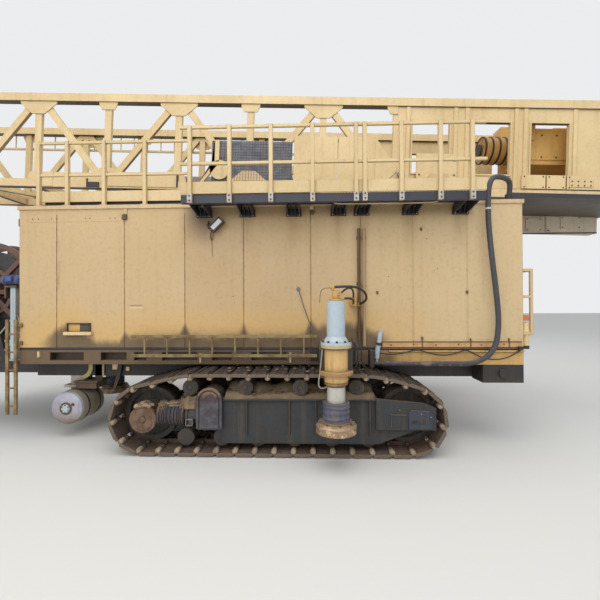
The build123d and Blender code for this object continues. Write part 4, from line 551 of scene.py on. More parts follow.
def plate(outline, low, high, axis="Y"):
    # an outline of (x, z), (y, z) or (x, y) points pushed along the axis that it leaves out, from low to high
    outline = np.array(outline, float)[:, ::-1] if axis == "Y" else np.array(outline, float)
    if np.sum(outline[:, 0] * np.roll(outline[:, 1], -1) - outline[:, 1] * np.roll(outline[:, 0], -1)) < 0:
        outline = outline[::-1]
    middle = outline.mean(0)
    stations = np.array([low, low, high, high], float)
    scale = np.array([0.0, 1.0, 1.0, 0.0])
    rings = middle + (outline - middle)[None] * scale[:, None, None]
    points = np.concatenate([rings, np.broadcast_to(stations[:, None, None], (4, len(outline), 1))], axis=2)
    order = {"Z": [0, 1, 2], "X": [2, 0, 1], "Y": [1, 2, 0]}[axis]
    return points.reshape(-1, 3)[:, order], gridFaces(4, len(outline))


def repeated(surface, offsets):  # the same surface at every offset
    points, faces = surface
    offsets = np.array(offsets, float)
    copies = points[None] + offsets[:, None]
    return copies.reshape(-1, 3), (faces[None] + len(points) * np.arange(len(offsets))[:, None, None]).reshape(-1, 4)


def spun(surface, degrees, axis, centre=(0, 0, 0)):  # turned about an axis through a point
    angle = np.radians(degrees)
    cos, sin = np.cos(angle), np.sin(angle)
    a, b = {"X": (1, 2), "Y": (2, 0), "Z": (0, 1)}[axis]
    points = surface[0] - np.array(centre)
    result = points.copy()
    result[:, a] = points[:, a] * cos - points[:, b] * sin
    result[:, b] = points[:, a] * sin + points[:, b] * cos
    return result + np.array(centre), surface[1]


def mirrored(surface):  # the far side's twin, with its faces turned back outwards
    return surface[0] * (1, -1, 1), surface[1][:, ::-1]


def mirroredX(surface):  # turned to face the rear
    return surface[0] * (-1, 1, 1), surface[1][:, ::-1]


def onMast(surface):  # from the mast's own frame (along to the foot, across, up) to the lowered mast
    along, across, up = surface[0].T
    cos, sin = np.cos(mastLean), np.sin(mastLean)
    placed = np.stack([along * cos + up * sin, across, up * cos - along * sin], axis=1)
    return placed + pivot, surface[1]


def bolts(centres, axis, size=0.016, height=0.012):  # six-sided heads at the centres, standing along the axis
    head = turned([(0, 0), (size, 0), (size, height * 0.75), (size * 0.8, height), (0, height)], (0, 0, 0), axis, 6)
    return repeated(head, centres)


def make(name, pairs, body, slot, *paints, edge=0.0, smooth=35, place=None):
    # one piece of all the (surface, number of its paint) pairs, each first laid where place puts it
    pairs = [(place(surface) if place else surface, paint) for surface, paint in pairs]
    first = np.cumsum([0, *[len(points) for (points, faces), paint in pairs]])
    mesh = bpy.data.meshes.new(name)
    mesh.from_pydata(np.concatenate([points for (points, faces), paint in pairs]), [],
            np.concatenate([faces + at for ((points, faces), paint), at in zip(pairs, first)]).tolist())
    numbers = np.concatenate([np.full(len(faces), paint) for (points, faces), paint in pairs])
    mesh.polygons.foreach_set("material_index", numbers)
    tidy = bmesh.new()
    tidy.from_mesh(mesh)
    bmesh.ops.remove_doubles(tidy, verts=tidy.verts, dist=1e-6)
    bmesh.ops.dissolve_degenerate(tidy, edges=tidy.edges, dist=1e-6)
    tidy.to_mesh(mesh)
    tidy.free()
    for paint in paints:
        mesh.materials.append(finishes[paint])
    mesh.polygons.foreach_set("use_smooth", np.ones(len(mesh.polygons), bool))
    mesh.set_sharp_from_angle(angle=np.radians(smooth))
    piece = bpy.data.objects.new(name, mesh)
    bpy.context.scene.collection.objects.link(piece)
    if edge:
        bevel = piece.modifiers.new("edge", "BEVEL")
        bevel.width, bevel.segments, bevel.limit_method = edge, 2, "ANGLE"
        bevel.angle_limit, bevel.use_clamp_overlap = np.radians(50), True
    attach(piece, body)
    return piece


def bothSides(name, pairs, body, slot, *paints, **options):  # the same piece near and far
    pairs = list(pairs)
    make(name + "Near", pairs, body, slot, *paints, **options)
    make(name + "Far", pairs, body, slot, *paints, place=mirrored, **options)


# Cords: the CAD's control points in metres
hoseX = walkHigh.x + 0.19


def fromCorner(corner, rows):  # each row of x, y, z steps added to the corner
    return [tuple(at + step for at, step in zip(corner, row)) for row in rows]


cordRoutes = {
    "airHose": {
        "node": "air_hose", "diameter": 0.076, "length": 4.874, "finish": "rubber", "stiffness": "medium",
        "points": fromCorner((hoseX, wallY, roofZ), [(0.455, 0.15, 0.115), (0.47, 0.1, 0.295), (0.27, -0.01, 0.345),
            (0.025, -0.12, 0.29), (0, -0.125, -0.25), (0.045, -0.133, -0.82), (0.112, -0.125, -1.35),
            (0.152, -0.133, -1.85), (0.097, -0.123, -2.26), (-0.198, -0.129, -2.45), (-0.65, -0.121, -2.444),
            (-1.15, -0.127, -2.452), (-1.56, -0.125, -2.446)])},
    "jackHoseUpper": {
        "node": "jack_hose_upper", "diameter": 0.034, "length": 1.032, "finish": "black", "stiffness": "medium",
        "points": fromCorner((jackX, jackY, 0), [(-0.016, 0, 2.345), (0.13, 0.012, 2.355), (0.29, 0.12, 2.349),
            (0.425, 0.33, 2.29), (0.48, 0.53, 2.205), (0.46, 0.64, 2.15), (0.395, 0.708, 2.12)])},
    "jackHoseMiddle": {
        "node": "jack_hose_middle", "diameter": 0.026, "length": 0.744, "finish": "black", "stiffness": "medium",
        "points": fromCorner((jackX, jackY, 0), [(0.064, 0, 2.262), (0.122, 0.052, 2.315), (0.19, 0.2, 2.343),
            (0.255, 0.4, 2.335), (0.29, 0.54, 2.285), (0.3, 0.65, 2.225)])},
    "jackHoseLower": {
        "node": "jack_hose_lower", "diameter": 0.03, "length": 0.704, "finish": "black", "stiffness": "medium",
        "points": fromCorner((jackX, jackY, 0), [(0.1, 0, 2.195), (0.175, 0.065, 2.201), (0.24, 0.22, 2.191),
            (0.28, 0.42, 2.161), (0.29, 0.56, 2.139), (0.293, 0.65, 2.133)])},
    "skirtCable": {
        "node": "skirt_cable", "diameter": 0.018, "length": 2.148, "finish": "black", "stiffness": "limp",
        "points": [(frontX - back, wallY - 0.048, z) for back, z in ((2.1985, 1.392), (2.0885, 1.372),
            (1.9585, 1.362), (1.8185, 1.376), (1.6885, 1.412), (1.5685, 1.434), (1.4485, 1.392), (1.2985, 1.354),
            (1.1385, 1.348), (0.9795, 1.389), (0.8675, 1.434), (0.7675, 1.382), (0.6535, 1.32), (0.5085, 1.284),
            (0.3485, 1.29), (0.2185, 1.33), (0.1285, 1.388))]},
}


def layCord(name, values):  # a NURBS line on the route's points, given the cord's thickness
    line = bpy.data.curves.new(name, "CURVE")
    line.dimensions = "3D"
    run = line.splines.new("NURBS")
    run.points.add(len(values["points"]) - 1)
    run.points.foreach_set("co", np.array([(*point, 1) for point in values["points"]], float).ravel())
    run.order_u = 3
    run.use_endpoint_u = True
    run.resolution_u = 10
    line.bevel_depth = values["diameter"] / 2
    line.bevel_resolution = 5
    line.use_fill_caps = True
    line.materials.append(finishes[values["finish"]])
    cord = bpy.data.objects.new(name, line)
    bpy.context.scene.collection.objects.link(cord)
    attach(cord, "platform")
    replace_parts(cord, values["node"])
    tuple(values["points"][0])
    return cord


for cordName, cordValues in cordRoutes.items():
    layCord(cordName, cordValues)
print("cords laid:", len(cordRoutes))


def seated(surface, place):  # moved to a place
    return surface[0] + np.array(place), surface[1]


def band(inner, outer, low, high, centre, axis="Z", sides=32):  # a ring of rectangular section
    profile = [(inner, low), (outer, low), (outer, high), (inner, high), (inner, low)]
    return turned(profile, centre, axis, sides)


def disc(radius, low, high, centre, axis="Z", sides=32, soft=0.004):  # a round plate with softened rims
    profile = [(0, low), (radius - soft, low), (radius, low + soft), (radius, high - soft), (radius - soft, high),
            (0, high)]
    return turned(profile, centre, axis, sides)


def nearBolts(centres, size=0.016, height=0.012):  # bolt heads that stand towards the near side
    return mirrored(bolts(np.array(centres) * (1, -1, 1), "Y", size, height))


def circle(count, radius, centre, axis="Z", start=0.0):  # points round a centre, in the plane across the axis
    angle = np.radians(start) + 2 * np.pi * np.arange(count) / count
    flat = np.stack([radius * np.cos(angle), radius * np.sin(angle), angle * 0], axis=1)
    order = {"Z": [0, 1, 2], "X": [2, 0, 1], "Y": [1, 2, 0]}[axis]
    return flat[:, order] + np.array(centre)


def tube(points, radius, steps=6, sides=10):  # a bent pipe through the middles of its runs
    return carried(roundSection(radius, sides), smoothPath(points, steps), (0.31, 0.17, 0.93))


def clods(places, size, shares):
    # lumps: a rough ball whose radius swells and shrinks with sines of its points and its number
    ball, faces = turned([(0, -1), (0.62, -0.78), (0.97, -0.25), (0.95, 0.3), (0.6, 0.8), (0, 1)], (0, 0, 0), "Z", 7)
    number = np.arange(len(places))[:, None, None]
    swell = 1 + 0.22 * np.sin(ball[None] * (3.1, 2.3, 2.7) + number * (1.7, 2.9, 0.6)).sum(2, keepdims=True) / 2
    points = ball[None] * swell * (size[:, None] * shares)[:, None] + places[:, None]
    return points.reshape(-1, 3), (faces[None] + len(ball) * np.arange(len(places))[:, None, None]).reshape(-1, 4)


# Tracks: every shoe lies on the chord between two joints of the line that wheels and rollers bear on
wheelLow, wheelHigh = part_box("track_wheels")
track = {
    "axleZ": 0.51, "wheelRadius": 0.4, "topZ": 1.06, "riseAfterDrive": 0.6, "fallToIdler": 0.49, "pitch": 0.272,
    "inner": 1.274, "outer": 2.146, "shoeLow": 0.05, "shoeHigh": 0.098, "barHigh": 0.11,
    "railsY": (1.49, 1.75), "railWidth": 0.06, "boltsY": (1.42, 1.57, 1.7, 1.84),
}
driveX, idlerX = wheelLow.x + track["wheelRadius"], wheelHigh.x - track["wheelRadius"]


def wheelTurn(axle, reach, side):  # from under the axle, round the outside, to where the line leaves for the top run
    rise = track["topZ"] - track["axleZ"]
    leave = np.arctan2(rise, reach) + np.arccos(track["wheelRadius"] / np.hypot(reach, rise))
    angle = np.linspace(-np.pi / 2, np.pi - leave, 80)
    return np.stack([axle + side * track["wheelRadius"] * np.cos(angle),
            track["axleZ"] + track["wheelRadius"] * np.sin(angle)], axis=1)


def trackJoints():  # joints at equal steps along the closed line, as (x, z)
    rear = wheelTurn(driveX, track["riseAfterDrive"], -1)[::-1]
    front = wheelTurn(idlerX, track["fallToIdler"], 1)
    corner = np.array([(idlerX - track["fallToIdler"], track["topZ"]),
            (driveX + track["riseAfterDrive"], track["topZ"])])
    line = np.concatenate([front, corner, rear, front[:1]])
    length = np.concatenate([[0], np.cumsum(np.linalg.norm(np.diff(line, axis=0), axis=1))])
    count = round(length[-1] / track["pitch"])
    steps = length[-1] * np.arange(count) / count
    return np.stack([np.interp(steps, length, line[:, 0]), np.interp(steps, length, line[:, 1])], axis=1)


joints = trackJoints()
chords = np.roll(joints, -1, axis=0) - joints


def alongTrack(surface):  # a surface drawn as (along, across, out) from a shoe's middle, at every shoe
    points, faces = surface
    middle, tangent = joints + chords / 2, unit(chords)
    lean = (0.02 * np.sin(np.arange(len(joints)) * 2.7) * (middle[:, 1] > 0.3))[:, None]
    tangent = unit(tangent + lean * np.stack([-tangent[:, 1], tangent[:, 0]], axis=1))
    out = np.stack([tangent[:, 1], -tangent[:, 0]], axis=1)
    flat = middle[:, None] + points[None, :, :1] * tangent[:, None] + points[None, :, 2:] * out[:, None]
    across = np.broadcast_to(points[None, :, 1:2], (len(middle), len(points), 1))
    placed = np.concatenate([flat[..., :1], across, flat[..., 1:]], axis=2)
    copies = faces[None] + len(points) * np.arange(len(middle))[:, None, None]
    return placed.reshape(-1, 3), copies.reshape(-1, 4)[:, ::-1]


def trackShoe():  # shoe, grip bars, rails, pin, pin lugs and bolts, drawn flat as (along, across, out)
    half = track["pitch"] / 2
    low, high, top = track["shoeLow"], track["shoeHigh"], track["barHigh"]
    yield plate([(-half + 0.004, low), (-half + 0.01, high - 0.008), (-half + 0.022, high), (half - 0.05, high),
            (half - 0.03, high - 0.012), (half - 0.012, high - 0.018), (half - 0.006, high - 0.03),
            (half - 0.006, low)], -track["outer"], -track["inner"]), 0
    yield boxes(*[(x, x + 0.042, -track["outer"] + 0.035, -track["inner"] - 0.035, high - 0.004, top)
            for x in (-half + 0.03, half - 0.105)]), 0
    rail = [(-half - 0.022, 0.012), (-half + 0.03, 0.001), (half - 0.03, 0.001), (half + 0.022, 0.012),
            (half + 0.022, 0.04), (half - 0.02, low + 0.004), (-half + 0.02, low + 0.004), (-half - 0.022, 0.04)]
    for y in track["railsY"]:
        yield plate(rail, -y - track["railWidth"] / 2, -y + track["railWidth"] / 2), 0
    yield turned([(0, -1.84), (0.022, -1.84), (0.022, -1.4), (0, -1.4)], (-half, 0, 0.022), "Y", 10), 0
    lug = [(0, -2.14), (0.03, -2.138), (0.042, -2.12), (0.04, -2.04), (0, -2.02)]
    yield turned(lug, (-half, 0, 0.04), "Y", 12), 1
    yield disc(0.036, -1.99, -1.93, (-half, 0, 0.044), "Y", 12), 0
    yield bolts([(x, -y, high - 0.002) for y in track["boltsY"] for x in (-0.035, 0.03)], "Z", 0.017, 0.012), 0


def trackPiece(name, turn):  # every part of the shoe, laid at every step along the closed line
    pairs = [(turn(alongTrack(surface)), paint) for surface, paint in trackShoe()]
    return make(name, pairs, "platform", "track_steel", "track", "lump", edge=0.004)


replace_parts(trackPiece("trackNear", lambda surface: surface), "track_near")
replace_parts(trackPiece("trackFar", mirrored), "track_far")
print("track shoes:", len(joints), "each side")


# Rollers, driven wheel, travel drive and tensioner
rollersX = [driveX + track["riseAfterDrive"] + 0.06 + 2.35 * i / 3 for i in range(4)]
running = {
    "rollerZ": 0.9497, "rollerEnd": 2.04, "hubFace": 2.09, "motorY": 1.97, "motorZ": 0.55, "gearFace": 2.13,
    "gearX": driveX + 0.955, "gearRadius": 0.165, "gearTop": 0.95, "housingFace": 2.10,
}


def wheelFittings():  # caps of the top rollers, and the driven wheel's hub under its crust of earth
    for x in rollersX:
        face = (x, -running["rollerEnd"], running["rollerZ"])
        yield disc(0.092, -0.012, 0.004, face, "Y", 24), 0
        yield band(0.05, 0.066, -0.02, -0.01, face, "Y", 24), 0
        yield disc(0.03, -0.026, -0.01, face, "Y", 12), 0
    hub = np.array((driveX, -running["hubFace"], track["axleZ"]))
    yield band(0.15, 0.19, -0.02, 0.03, hub, "Y"), 1
    yield disc(0.17, -0.026, 0.01, hub, "Y", 32, 0.02), 1
    yield disc(0.05, -0.036, -0.02, hub, "Y", 16, 0.012), 1
    number = np.arange(26)
    spread = np.mod(number * 0.618034, 1) - 0.5
    rise = np.mod(number * 0.7548777, 1)
    places = spots(driveX + spread * 0.2, -2.04 + 0.06 * np.sin(number * 2.1),
            0.69 + rise * 0.06 * (1 - 2 * abs(spread)))
    size = 0.02 + 0.02 * np.mod(number * 0.5698, 1)
    yield clods(places, size, (1.3, 1.4, 0.8)), 2


def driveFittings():
    # fins of the motor, small frame, rounded muddy hood of the gearbox, slotted plate of the tensioner
    axis = np.array((0, -running["motorY"], running["motorZ"]))
    for i in range(15):
        yield band(0.1, 0.157, 0, 0.009, axis + (driveX + 0.196 + i * 0.0235, 0, 0), "X", 28), 0
    yield band(0.1, 0.162, 0, 0.016, axis + (driveX + 0.555, 0, 0), "X", 28), 1
    yield band(0.1, 0.128, 0, 0.03, axis + (driveX + 0.6, 0, 0), "X", 28), 0
    yield band(0.1, 0.128, 0, 0.03, axis + (driveX + 0.75, 0, 0), "X", 28), 0
    x, y = driveX + 0.66, -2.095
    yield boxes((x - 0.05, x + 0.05, y - 0.012, y + 0.05, 0.42, 0.43),
            (x - 0.05, x + 0.05, y - 0.012, y + 0.05, 0.505, 0.515),
            (x - 0.05, x - 0.04, y - 0.012, y + 0.05, 0.43, 0.505),
            (x + 0.04, x + 0.05, y - 0.012, y + 0.05, 0.43, 0.505),
            (x - 0.04, x + 0.04, y + 0.04, y + 0.12, 0.43, 0.5)), 3
    gearX, radius, face = running["gearX"], running["gearRadius"], -running["gearFace"]
    arc = np.radians(np.linspace(0, 180, 19))
    top = running["gearTop"] - radius
    hood = [(gearX + radius, 0.4), *zip(gearX + radius * np.cos(arc), top + radius * np.sin(arc)),
            (gearX - radius, 0.4)]
    inside = [(gearX + (px - gearX) * 0.8, top + (pz - top) * (0.8 if pz > top else 1.0)) for px, pz in hood]
    yield plate(inside, face - 0.014, face + 0.004), 4
    ring = np.array([(px, face - 0.004, pz) for px, pz in hood])
    yield carried([(-0.016, -0.02), (0.016, -0.02), (0.016, 0.012), (-0.016, 0.012)], ring, (0, 1, 0)), 4
    bolted = [(gearX + 0.9 * radius * np.cos(a), face - 0.012, top + 0.9 * radius * np.sin(a))
            for a in np.radians((15, 50, 90, 130, 165))]
    yield nearBolts(bolted, 0.01, 0.01), 1
    side = -running["housingFace"]
    x0, x1 = idlerX - 0.05, idlerX + 0.28
    yield plate([(x0, 0.4), (x1, 0.4), (x1, 0.6), (x1 - 0.04, 0.645), (x0 + 0.05, 0.66), (x0, 0.62)], side - 0.018,
            side + sunk), 5
    yield plate([(x0 + 0.06, 0.475), (x1 - 0.07, 0.475), (x1 - 0.05, 0.49), (x1 - 0.05, 0.515), (x1 - 0.07, 0.53),
            (x0 + 0.06, 0.53), (x0 + 0.04, 0.515), (x0 + 0.04, 0.49)], side - 0.02, side + sunk), 2
    yield boxes((x0 - 0.24, x0 - 0.02, side - 0.012, side + sunk, 0.585, 0.597),
            (x0 - 0.24, x0 - 0.225, side - 0.012, side + sunk, 0.42, 0.585)), 4
    yield nearBolts([(x0 + 0.17, side - 0.017, 0.61), (x1 - 0.03, side - 0.017, 0.57),
            (x0 - 0.12, side + 0.001, 0.66)], 0.012, 0.012), 3


bothSides("wheelFittings", wheelFittings(), "platform", "muddy_paint", "roller", "hub", "paleEarth")
bothSides("driveFittings", driveFittings(), "platform", "dark_paint", "drive", "roller", "black", "grey", "hood",
        "navy", edge=0.002)


def trackDirt():  # banks of dried earth on the track frame, the motor and round the gearbox, with clods on them
    along = np.linspace(running["gearX"] + 0.17, idlerX - 0.47, 60)
    hump = [(-1, 0), (-0.8, 0.45), (-0.35, 0.9), (0.1, 1.0), (0.6, 0.7), (0.95, 0.2), (1, 0)]
    for y, width, height, phase in ((-1.97, 0.1, 0.075, 0.4), (-1.7, 0.22, 0.15, 2.1), (-1.45, 0.04, 0.07, 3.7)):
        swell = 1 + 0.3 * np.sin(along * 5.3 + phase) * np.sin(along * 2.1 + 2 * phase)
        swell += 0.12 * np.sin(along * 17 + phase)
        path = spots(along, y, 0.795)
        swell[[0, -1]] = 0.05
        yield carried(np.array(hump) * (width, height), path, scale=swell), 0
    number = np.arange(230)
    x = driveX + 0.9 + np.mod(number * 0.6180339, 1) * (idlerX - driveX - 1.4)
    deep = np.mod(number * 0.7548777, 1)
    size = 0.008 + 0.016 * np.mod(number * 0.5698403, 1)
    low = np.where(number % 4 == 0, track["topZ"] + track["barHigh"] + 0.002, 0.85 + 0.05 * np.sin(deep * 3.1))
    onFrame = (x > running["gearX"] + 0.18) & (x < idlerX - 0.5)
    places = spots(x, -1.33 - deep * 0.7, low)[onFrame]
    yield clods(places, size[onFrame], (1.3, 1.2, 0.6)), 0
    for start, stop, y, base, width, height in ((0.18, 0.6, -1.95, 0.68, 0.1, 0.06),
            (0.5, 0.84, -1.98, 0.655, 0.11, 0.16), (0.5, 0.84, -1.86, 0.66, 0.09, 0.22)):
        motor = np.linspace(driveX + start, driveX + stop, 24)
        path = spots(motor, y, base)
        crust = 1 + 0.22 * np.sin(motor * 40 + y * 9) * np.sin(motor * 13)
        crust[[0, -1]] = 0.05
        yield carried(np.array(hump) * (width, height), path, scale=crust), 0
    number = np.arange(60)
    spread = np.mod(number * 0.618034, 1)
    places = spots(driveX + 0.2 + spread * 0.62, -2.03 + 0.12 * np.mod(number * 0.7548, 1), 0.71 + spread ** 2 * 0.1)
    size = 0.012 + 0.016 * np.mod(number * 0.5698, 1)
    yield clods(places, size, (1.3, 1.2, 0.7)), 1


bothSides("trackDirt", trackDirt(), "platform", "muddy_paint", "earth", "paleEarth", smooth=60)


# Jacks
jack = {
    "flangeTop": 1.64, "boltCircle": 0.18, "boltCount": 10, "sleeveHigh": 0.868, "ribHeight": 0.058,
    "rearX": rearX + 0.65, "padHeight": 0.11, "collarHeight": 0.036,
}


def jackCollar(x, y):  # bolts of the flange, its lower plate, and a worn band under the clamp ring
    yield bolts(circle(jack["boltCount"], jack["boltCircle"], (x, y, jack["flangeTop"] - 0.001), "Z", 18), "Z",
            0.017, 0.024), 1
    yield band(0.14, 0.193, 1.549, 1.567, (x, y, 0)), 0
    yield band(0.14, 0.155, casingLow + 0.05, casingLow + 0.066, (x, y, 0)), 0


def jackFoot(x, y, padTop):  # the ram's wrinkled guard and the dirty, bolted plates of its pad
    low, high = padTop + jack["collarHeight"], jack["sleeveHigh"]
    share = np.linspace(0, 1, 81)
    wave = np.cos(2 * np.pi * (high - low) / jack["ribHeight"] * share + 1.3 * np.sin(share * 7))
    profile = [(0.119, low), *zip(0.1705 + 0.0055 * wave, low + (high - low) * share), (0.119, high), (0.119, low)]
    points, faces = turned(profile, (0, 0, 0), "Z", 44)
    angle = np.arctan2(points[:, 1], points[:, 0])
    outer = np.hypot(points[:, 0], points[:, 1]) > 0.15
    points[:, 2] += outer * 0.008 * np.sin(2 * angle + points[:, 2] * 23) * (points[:, 2] > low) * (points[:,
            2] < high)
    yield (points + (x, y, 0), faces), 0
    yield band(0.18, 0.236, padTop - 0.002, padTop + 0.014, (x, y, 0)), 1
    yield bolts(circle(8, 0.22, (x, y, padTop + 0.013), "Z", 9), "Z", 0.014, 0.014), 2
    number = np.arange(22)
    angle = number * 2.39996
    away = 0.17 + 0.03 * np.mod(number * 0.618, 1)
    places = spots(x + away * np.cos(angle), y + away * np.sin(angle), padTop + 0.004)
    lump = 0.01 + 0.01 * np.mod(number * 0.7548, 1)
    yield clods(places, lump, (1.3, 1.3, 0.8)), 3


def jackPipe(side):
    # hard line from the flange down the casing to the mouth, and a thin one from the valve to the wall
    x, y = jackX, side * abs(jackY)
    thick = [(-0.172, 0.03, 1.6), (-0.186, 0.04, 1.46), (-0.208, 0.05, 1.25), (-0.229, 0.06, 1.13),
            (-0.222, 0.06, 1.06), (-0.16, 0.05, 1.045), (-0.12, 0.03, 1.07)]
    thin = [(-0.036, 0, 2.335), (-0.17, 0.02, 2.33), (-0.2, -0.02, 2.26), (-0.204, -0.04, 2.18)]
    thick, thin = [[(x + dx, y + side * dy, z) for dx, dy, z in line] for line in (thick, thin)]
    return tube(thick, 0.0095, 8, 8), tube(thin, 0.005, 6, 6)


def jackGrime(x, y):  # clotted grease and short lines where the jack's arm meets the side beam
    for reach, drop in ((0.25, 0.0), (0.29, 0.05), (0.34, 0.02)):
        yield tube([(x + reach, y + 0.3, 1.6 - drop), (x + reach + 0.03, y + 0.26, 1.5 - drop),
                (x + reach + 0.02, y + 0.28, 1.37), (x + reach + 0.05, y + 0.34, 1.29)], 0.011, 6, 8), 0


for jackName, jackSide, jackPlace in (("near", -1, jackX), ("far", 1, jackX), ("rear", 0, jack["rearX"])):
    jackAt = jackSide * abs(jackY)
    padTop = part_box("jack_ram_" + jackName)[0].z + jack["padHeight"]
    make(jackName + "JackFoot", jackFoot(jackPlace, jackAt, padTop), "jack_" + jackName, "grey_blue_paint", "guard",
            "ram", "frame", "earth", smooth=50)
    if jackSide:
        make(jackName + "JackCollar", jackCollar(jackPlace, jackAt), "platform", "yellow_paint", "pipe", "frame",
                edge=0.003)
        make(jackName + "JackPipe", zip(jackPipe(jackSide), (0, 1)), "platform", "bare_steel", "bare", "pipe")
bothSides("jackLines", jackGrime(jackX, -abs(jackY)), "platform", "dark_paint", "frame")


# Near wall, side beam and walkway
wall = {
    "boltPairs": (-2.92, -2.826, -2.614, -2.525, -2.07, -1.999, -1.681, -1.598), "boltZ": 3.477,
    "caps": ((0.251, 2.246), (2.62, 2.538), (3.358, 2.646), (3.2, 3.1), (4.2, 2.2)),
    "clips": ((3.112, 3.246), (2.451, 2.292), (3.789, 2.292), (3.118, 1.6)),
    "stubs": ((-2.81, 1.31, 1.4), (-0.257, 1.23, 1.37), (1.127, 1.23, 1.385)),
    "sealed": (2.9885, 3.7985), "lampX": 0.02, "lampZ": 3.335, "lampTurn": 45,
    "plates": (  # paint, x0, x1, how far it stands out, z0, z1: the vent, its sill, two clips, the patch and its edge
        (1, -2.356, -1.985, 0.03, 1.827, 1.843), (1, -2.356, -2.342, 0.03, 1.712, 1.843),
        (1, -1.999, -1.985, 0.03, 1.712, 1.843), (3, -2.342, -2.156, 0.008, 1.712, 1.827),
        (5, -2.156, -1.999, 0.006, 1.712, 1.827), (2, -2.386, -1.945, 0.07, 1.657, 1.708),
        (5, -1.475, -1.407, 0.045, 3.446, 3.52), (0, -1.462, -1.405, 0.02, 3.53, 3.615),
        (2, 1.435, 1.49, 0.05, 3.555, 3.615), (5, 1.44, 1.5, 0.03, 3.49, 3.555),
        (0, 1.514, 1.914, 0.008, 3.508, 3.6), (4, 1.9, 1.93, 0.012, 3.5, 3.6)),
}


def onWall(*rows):  # boxes on the near wall, from rows of x0, x1, how far they stand out, z0, z1
    return boxes(*[(x0, x1, wallY - out, wallY + sunk, low, high) for x0, x1, out, low, high in rows])


def wallFittings():
    # bolts, clips, vent, patch, scrap line, foot strip, stubs, sealed seams and the hose's clamp
    out = wallY
    yield nearBolts([(x, out + 0.001, wall["boltZ"]) for x in wall["boltPairs"]], 0.009, 0.008), 4
    yield nearBolts([(x, out + 0.001, z) for x, z in wall["caps"]], 0.009, 0.006), 4
    yield onWall(*[row for x, z in wall["clips"] for row in ((x - 0.016, x + 0.016, 0.02, z - 0.006, z + 0.022),
            (x - 0.008, x + 0.014, 0.03, z - 0.024, z - 0.004))]), 4
    for paint, x0, x1, reach, low, high in wall["plates"]:
        yield onWall((x0, x1, reach, low, high)), paint
    yield tube([(1.245, out + 0.004, 2.39), (1.25, out - 0.02, 2.37), (1.34, out - 0.024, 2.06),
            (1.45, out - 0.026, 1.76), (1.54, out - 0.03, 1.57)], 0.0075), 6
    yield disc(0.03, -0.03, 0.0, (1.252, out, 2.35), "Y", 12), 6
    foot, edge = frontX - 0.03, 2.52
    yield onWall((edge, foot, 0.02, 1.464, 1.54)), 7
    yield onWall((edge, foot, 0.028, 1.54, 1.552), (edge, foot, 0.03, 1.44, 1.452)), 4
    yield onWall(*[(x - 0.005, x + 0.005, 0.032, 1.452, 1.6) for x in (3.118, 3.834, 4.4)]), 4
    yield nearBolts([(edge + 0.13 + 0.335 * i, out - 0.019, 1.5 + 0.008 * (i % 2)) for i in range(6)], 0.012,
            0.008), 4
    yield onWall(*[(x - 0.014, x + 0.014, 0.03, low, high) for x, low, high in wall["stubs"]]), 2
    yield boxes(*[(x - 0.016, x + 0.016, out - 0.0015, out + 0.004, 1.56, 3.45) for x in wall["sealed"]]), 0
    yield band(0.03, 0.043, 3.5, 3.53, (hoseX + 0.009, out - 0.1235, 0), "Z", 20), 8


def brokenPipe():  # a pale pipe end that bends down the wall's foot beside the jack
    y = wallY - 0.06
    yield tube([(2.5, y + 0.07, 1.7), (2.478, y + 0.01, 1.66), (2.462, y, 1.53), (2.436, y, 1.42), (2.43, y, 1.34)],
            0.036, 8, 14), 0
    yield turned([(0, 0), (0.042, 0), (0.045, 0.02), (0.042, 0.04), (0, 0.04)], (2.464, y, 1.5), "Z", 16), 1
    yield boxes((2.41, 2.45, y - 0.015, y + 0.01, 1.23, 1.33)), 0


def frontCorner():  # valve, coupling and brackets at the house's front corner
    x, y = frontX, wallY + 0.08
    yield boxes((x + 0.01, x + 0.1, y - 0.05, y + 0.04, 1.86, 1.94)), 0
    yield boxes((x - 0.005, x + 0.02, y - 0.04, y + 0.02, 1.88, 1.92)), 1
    yield turned([(0, -0.19), (0.045, -0.19), (0.05, -0.16), (0.05, -0.02), (0.06, 0), (0.06, 0.05), (0.05, 0.07),
            (0.05, 0.17), (0, 0.17)], (x + 0.075, y, 1.66), "Z", 20), 2
    yield disc(0.052, -0.23, -0.18, (x + 0.075, y, 1.66), "Z", 20), 1
    yield boxes((x - 0.004, x + 0.06, y - 0.02, y + 0.02, 1.64, 1.68)), 1


